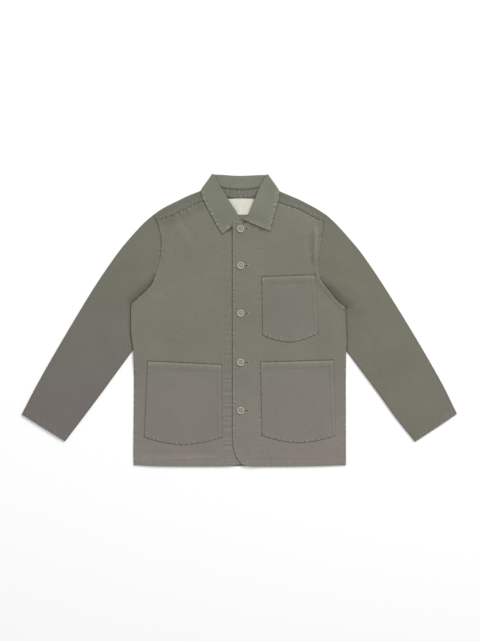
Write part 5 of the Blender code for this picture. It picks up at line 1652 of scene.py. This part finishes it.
def leaf_rows():
    """Up each front end of the collar and along its free edge."""
    rows = []
    for half in HALVES:
        roll, free = half.leaf.roll, half.leaf.free
        start = COLLAR_ROW / free.length
        up = np.linspace(LEAF_START, 1.0 - COLLAR_ROW / np.linalg.norm(free.first - roll.first), 20)
        t = np.linspace(start, LEAF_END, 70)
        depths = np.linalg.norm(free.at(t) - roll.at(t), axis=1)
        row = np.vstack([leaf_surface(half, np.full(20, start), up)[0][:-1],
                         leaf_surface(half, t, 1.0 - COLLAR_ROW / depths)[0]])
        row[:, 2] += COLLAR_WALL / 2.0 + STITCH_LIFT
        rows.append(row)
    return rows


def pocket_rows():
    rows = []
    for pocket in POCKETS:
        rim, mouth = pocket_edges(pocket)
        line = np.vstack([between(rim[0], rim[1], shares(60)[:-1, None]), rim[1:-2],
                          between(rim[-2], rim[-1], shares(60)[:, None])])
        inward = -outward_normals(line, rim.mean(0))
        plans = []
        for off in POCKET_ROWS:
            plan = line + inward * off
            plans.append(plan[(apart(plan, rim) > off - 0.35) & (apart(plan, mouth) > 1.0)])
        plan = between(mouth[0], mouth[1], shares(90)[:, None]) - (0.0, MOUTH_ROW)
        plans.append(plan[apart(plan, rim) > 2.2])
        rows += [lifted(plan, pocket_surface(pocket, plan)[0] + WALL / 2.0 + 0.3 + STITCH_LIFT) for plan in plans]
    return rows


def label_rows():
    x = np.linspace(LABEL_LEFT + LABEL_GROOVE, LABEL_RIGHT - LABEL_GROOVE, 40)
    y = np.linspace(LABEL_FOOT + LABEL_GROOVE, LABEL_TOP - LABEL_BOW - LABEL_GROOVE, 24)
    sides = ((x, label_top(x) - LABEL_GROOVE), (x, LABEL_FOOT + LABEL_GROOVE),
             (LABEL_LEFT + LABEL_GROOVE, y), (LABEL_RIGHT - LABEL_GROOVE, y))
    return [lifted(plan, label_surface(plan) + LABEL_WALL / 2.0 + 0.02) for plan in (plan_of(*side) for side in sides)]


def buttonhole_rows():
    """Satin stitches along both lips of each buttonhole."""
    x = np.linspace(HOLE_START, HOLE_END - 1.5, 24)
    return [on_front(LEFT, plan_of(x, y + side), 0.2) for y in BUTTON_ROWS for side in (-HOLE_RIM, HOLE_RIM)]


def buttonhole_slits():
    """Runs along the buttonholes' slits, in metres, for dark tubes of painted shadow."""
    x = np.linspace(HOLE_START, HOLE_END - 0.5, 16)
    return [on_front(LEFT, plan_of(x, y), -0.55) * MM for y in BUTTON_ROWS]


def bar_tacks():
    """Dense bars of thread: buttonhole ends and pocket mouth corners."""
    rows = [on_front(LEFT, plan_of(HOLE_END, np.linspace(y - HOLE_RIM - 1.0, y + HOLE_RIM + 1.0, 9)), HEM_LIFT)
            for y in BUTTON_ROWS]
    down = np.linspace(*TACK_RUN, 16)
    for pocket in POCKETS:
        for corner, inward in ((pocket.mouth_left, 1.0), (pocket.mouth_right, -1.0)):
            plan = plan_of(corner[0] + inward * TACK_INSET, corner[1] - down)
            rows.append(lifted(plan, pocket_surface(pocket, plan)[0] + WALL / 2.0 + 0.5))
    return rows


# Operators
POCKET_SPARE = 6.0      # a pocket's cloth is measured this much wider and longer, in mm


def square_metres(grids):
    """Area of one layer of a cloth piece."""
    points, _, _, _, faces = joined(grids)
    return 0.5 * np.linalg.norm(face_vectors(points, faces), axis=1).sum() * MM * MM


def dress(piece, slot, *nodes):
    """Ties a piece to the jacket's one body and hides the solids that it stands for. Its slot is not used."""
    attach(piece, "root")
    if nodes:
        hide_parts(*nodes)
    return piece


def sew_cloth(name, grids, finish, slot, node, flat, share=None):
    """A finished piece of cloth. The area of the sheet that it was cut from is worked out but not kept."""
    piece = dress(cloth_piece(name, grids, finish_of(finish)), slot, node)
    None if share is None else min(square_metres(grids) * share, flat[0] * flat[1])


class JacketLooks(bpy.types.PropertyGroup):
    """Colours of the jacket, as sRGB hex values."""

    chest: bpy.props.StringProperty(name="Cloth, chest", description="Body cloth at the chest", default="#727266")
    hem: bpy.props.StringProperty(name="Cloth, hem", description="Body cloth at the hem", default="#7F7972")
    sleeve_right: bpy.props.StringProperty(
        name="Right sleeve", description="Right sleeve at the top", default="#6C6C60")
    cuff_right: bpy.props.StringProperty(name="Right cuff", description="Right sleeve at the cuff", default="#6E6865")
    sleeve_left: bpy.props.StringProperty(name="Left sleeve", description="Left sleeve at the top", default="#6C6C5F")
    cuff_left: bpy.props.StringProperty(name="Left cuff", description="Left sleeve at the cuff", default="#716E64")
    collar: bpy.props.StringProperty(name="Collar", description="Collar cloth", default="#747569")
    pocket: bpy.props.StringProperty(name="Chest pocket", description="Chest pocket cloth", default="#727167")
    hip_pocket: bpy.props.StringProperty(name="Hip pockets", description="Hip pocket cloth", default="#7A766F")
    thread: bpy.props.StringProperty(name="Thread", description="Sewing thread", default="#9C9A8D")
    # painted shadow: the colour of the dark tubes laid in the buttonhole slits
    slit: bpy.props.StringProperty(name="Buttonhole slit", description="Inside of the buttonholes", default="#3A392F")
    button: bpy.props.StringProperty(name="Buttons", description="Button resin", default="#9D9D8B")
    button_thread: bpy.props.StringProperty(
        name="Button thread", description="Thread through the buttons", default="#A5A493")
    hole_thread: bpy.props.StringProperty(
        name="Buttonhole thread", description="Satin stitches of the buttonholes", default="#88877B")
    label: bpy.props.StringProperty(name="Label", description="Neck label", default="#D1D0C0")


class JacketSewing(bpy.types.PropertyGroup):
    """Sizes of the stitching."""

    pitch: bpy.props.FloatProperty(name="Stitch pitch", description="From one stitch to the next", default=0.0031,
                                   min=0.001, max=0.01, unit="LENGTH", precision=4)
    length: bpy.props.FloatProperty(name="Stitch length", description="Length of the thread that shows",
                                    default=0.0025, min=0.0005, max=0.01, unit="LENGTH", precision=4)
    thickness: bpy.props.FloatProperty(name="Thread thickness", description="Across the sewing thread",
                                       default=0.0006, min=0.0002, max=0.002, unit="LENGTH", precision=4)
    unevenness: bpy.props.FloatProperty(name="Unevenness", description="How far stitches turn and vary in length",
                                        default=0.12, min=0.0, max=0.5, subtype="FACTOR")


class JACKET_OT_back(bpy.types.Operator):
    """Back panel, folded over both shoulders to the forward seams"""
    bl_idname = "jacket.back"
    bl_label = "Back"

    def execute(self, context):
        grids = make_back_grids(RIGHT) + make_back_grids(LEFT)
        sew_cloth("canvas_back", grids, "washed canvas", "canvas", "back", (0.60, 0.80),
                  0.97)
        return {"FINISHED"}


class JACKET_OT_fronts(bpy.types.Operator):
    """Right front and, lapped over it, left front with the visible button edge"""
    bl_idname = "jacket.fronts"
    bl_label = "Fronts"

    def execute(self, context):
        for half in HALVES:
            node = "front_" + half.word
            sew_cloth("canvas_" + node, make_front_grids(half), "washed canvas", "canvas", node, (0.33, 0.75),
                      1.0)
        return {"FINISHED"}


class JACKET_OT_sleeves(bpy.types.Operator):
    """Both sleeves, each one tube folded flat"""
    bl_idname = "jacket.sleeves"
    bl_label = "Sleeves"

    def execute(self, context):
        for half in HALVES:
            sew_cloth("canvas_sleeve_" + half.word, make_sleeve_grids(half), "washed canvas, %s sleeve" % half.word,
                      "canvas_sleeve", "sleeve_" + half.word, (0.42, 0.64), 1.0)
        return {"FINISHED"}


class JACKET_OT_collar(bpy.types.Operator):
    """Collar leaf and the stand that it is folded over"""
    bl_idname = "jacket.collar"
    bl_label = "Collar"

    def execute(self, context):
        for name, grids, node, flat, under in (
                ("collar_stand_band", make_stand_grids(), "collar_stand", (0.46, 0.042), "back"),
                ("collar_leaf_fold", make_leaf_grids(), "collar_leaf", (0.60, 0.10), "collar_stand_band")):
            sew_cloth(name, grids, "washed canvas, collar", "canvas_collar", node, flat,
                      1.0)
        return {"FINISHED"}


class JACKET_OT_pockets(bpy.types.Operator):
    """Chest pocket and both hip pockets"""
    bl_idname = "jacket.pockets"
    bl_label = "Pockets"

    def execute(self, context):
        for pocket in POCKETS:
            width = pocket.foot_right[0] - pocket.foot_left[0] + POCKET_SPARE
            length = pocket.mouth_left[1] - pocket.foot_left[1] + pocket.bow + POCKET_SPARE
            sew_cloth("patch_" + pocket.name, make_pocket_grids(pocket), "washed canvas, pockets", "canvas_pocket",
                      pocket.name, (width * MM, length * MM), 1.0)
        return {"FINISHED"}


class JACKET_OT_label(bpy.types.Operator):
    """Bare label inside the back neck"""
    bl_idname = "jacket.label"
    bl_label = "Label"

    def execute(self, context):
        sew_cloth("neck_label", make_label_grids(), "woven label", "label", "label",
                  ((LABEL_RIGHT - LABEL_LEFT) * MM, (LABEL_TOP - LABEL_FOOT) * MM))
        return {"FINISHED"}


class JACKET_OT_buttons(bpy.types.Operator):
    """Five turned buttons with their thread"""
    bl_idname = "jacket.buttons"
    bl_label = "Buttons"

    def execute(self, context):
        places = []
        for number in range(1, len(BUTTON_ROWS) + 1):
            piece, place = make_button(number, finish_of("tumbled resin"))
            dress(piece, "button", "button_%d" % number)
            places.append(place)
        dress(button_thread(places, finish_of("button thread")), "button")
        return {"FINISHED"}


class JACKET_OT_stitching(bpy.types.Operator):
    """All rows of stitches, buttonholes and bar tacks"""
    bl_idname = "jacket.stitching"
    bl_label = "Stitching"

    def execute(self, context):
        sewing = context.scene.jacket_sewing
        tree = stitch_tree("rows of stitches")
        plain = {"Pitch": sewing.pitch, "Length": sewing.length, "Thickness": sewing.thickness, "Turn": 0.0,
                 "Unevenness": sewing.unevenness}
        slit_shadows = thread_tubes("buttonhole_slits", buttonhole_slits(), SLIT_RADIUS, finish_of("shaded thread"))
        dress(slit_shadows, "canvas")
        for name, rows, sizes, finish, slot in (
                ("stitches_fronts", front_rows(), plain, "cotton thread", "canvas"),
                ("stitches_shoulders", shoulder_rows(), plain, "cotton thread", "canvas"),
                ("stitches_cuffs", cuff_rows(), plain, "cotton thread", "canvas_sleeve"),
                ("stitches_collar", leaf_rows(), plain, "cotton thread", "canvas_collar"),
                ("stitches_pockets", pocket_rows(), plain, "cotton thread", "canvas_pocket"),
                ("stitches_label", label_rows(), plain, "label thread", "label"),
                ("buttonhole_satin", buttonhole_rows(), SATIN_SIZES, "buttonhole thread", "canvas"),
                ("bar_tacks", bar_tacks(), SATIN_SIZES, "cotton thread", "canvas")):
            dress(sewn_rows(name, tree, rows, finish_of(finish), **sizes), slot)
        return {"FINISHED"}


FRAME_HEIGHT = 1.731    # metres that the photo shows from top to bottom, at 2.7 mm for each of its pixels
FRAME_MIDDLE = (0.0019, -0.0008)        # X and Y of its middle
CAMERA_HEIGHT = 3.0
FLOOR_HALF, FLOOR_Z = 4.0, -0.0002
LAMPS = (("window", (2.4, 3.2, 3.0), 2.2, 205.0), ("fill", (-1.7, -0.6, 2.9), 2.4, 18.0))
SKY_STRENGTH = 0.52


class JACKET_OT_stage(bpy.types.Operator):
    """White floor, soft daylight and the camera straight above"""
    bl_idname = "jacket.stage"
    bl_label = "Stage"

    def execute(self, context):
        scene = context.scene
        mesh = bpy.data.meshes.new("white_sweep")
        corners = ((-1, -1), (1, -1), (1, 1), (-1, 1))
        mesh.from_pydata([(x * FLOOR_HALF, y * FLOOR_HALF, FLOOR_Z) for x, y in corners], [], [(0, 1, 2, 3)])
        new_piece("white_sweep", mesh, finish_of("white sweep"))
        for name, place, size, power in LAMPS:
            lamp = bpy.data.lights.new(name, "AREA")
            lamp.shape, lamp.size, lamp.energy = "DISK", size, power
            light = bpy.data.objects.new(name, lamp)
            light.location = place
            light.rotation_euler = (-Vector(place)).to_track_quat("-Z", "Y").to_euler()
            scene.collection.objects.link(light)
        scene.world = bpy.data.worlds.new("white room")
        scene.world.use_nodes = True
        sky = scene.world.node_tree.nodes["Background"].inputs
        sky["Color"].default_value, sky["Strength"].default_value = (1.0, 1.0, 1.0, 1.0), SKY_STRENGTH
        scene.view_settings.view_transform = "Standard"
        camera = bpy.data.cameras.new("above")
        camera.sensor_width = 36.0
        camera.lens = camera.sensor_width * CAMERA_HEIGHT / FRAME_HEIGHT
        camera.clip_end = 20.0
        eye = bpy.data.objects.new("above", camera)
        eye.location = (*FRAME_MIDDLE, CAMERA_HEIGHT)
        scene.collection.objects.link(eye)
        scene.camera = eye
        return {"FINISHED"}


class JACKET_PT_panel(bpy.types.Panel):
    """The jacket's pieces, colours and stitch sizes"""
    bl_idname = "JACKET_PT_panel"
    bl_label = "Chore jacket"
    bl_space_type = "VIEW_3D"
    bl_region_type = "UI"
    bl_category = "Jacket"

    def draw(self, context):
        for group in (context.scene.jacket_looks, context.scene.jacket_sewing):
            box = self.layout.box()
            for name in group.__annotations__:
                box.prop(group, name)
        for step in STEPS:
            self.layout.operator(step.bl_idname)


STEPS = (JACKET_OT_back, JACKET_OT_fronts, JACKET_OT_sleeves, JACKET_OT_collar, JACKET_OT_pockets, JACKET_OT_label,
         JACKET_OT_buttons, JACKET_OT_stitching, JACKET_OT_stage)
CLASSES = (JacketLooks, JacketSewing) + STEPS + (JACKET_PT_panel,)


def register():
    for entry in CLASSES:
        bpy.utils.register_class(entry)
    bpy.types.Scene.jacket_looks = bpy.props.PointerProperty(type=JacketLooks)
    bpy.types.Scene.jacket_sewing = bpy.props.PointerProperty(type=JacketSewing)


def unregister():
    del bpy.types.Scene.jacket_sewing
    del bpy.types.Scene.jacket_looks
    for entry in reversed(CLASSES):
        bpy.utils.unregister_class(entry)


def main():
    register()
    bpy.ops.jacket.back()
    bpy.ops.jacket.fronts()
    bpy.ops.jacket.sleeves()
    bpy.ops.jacket.collar()
    bpy.ops.jacket.pockets()
    bpy.ops.jacket.label()
    bpy.ops.jacket.buttons()
    bpy.ops.jacket.stitching()
    bpy.ops.jacket.stage()


if __name__ == "__main__":
    main()
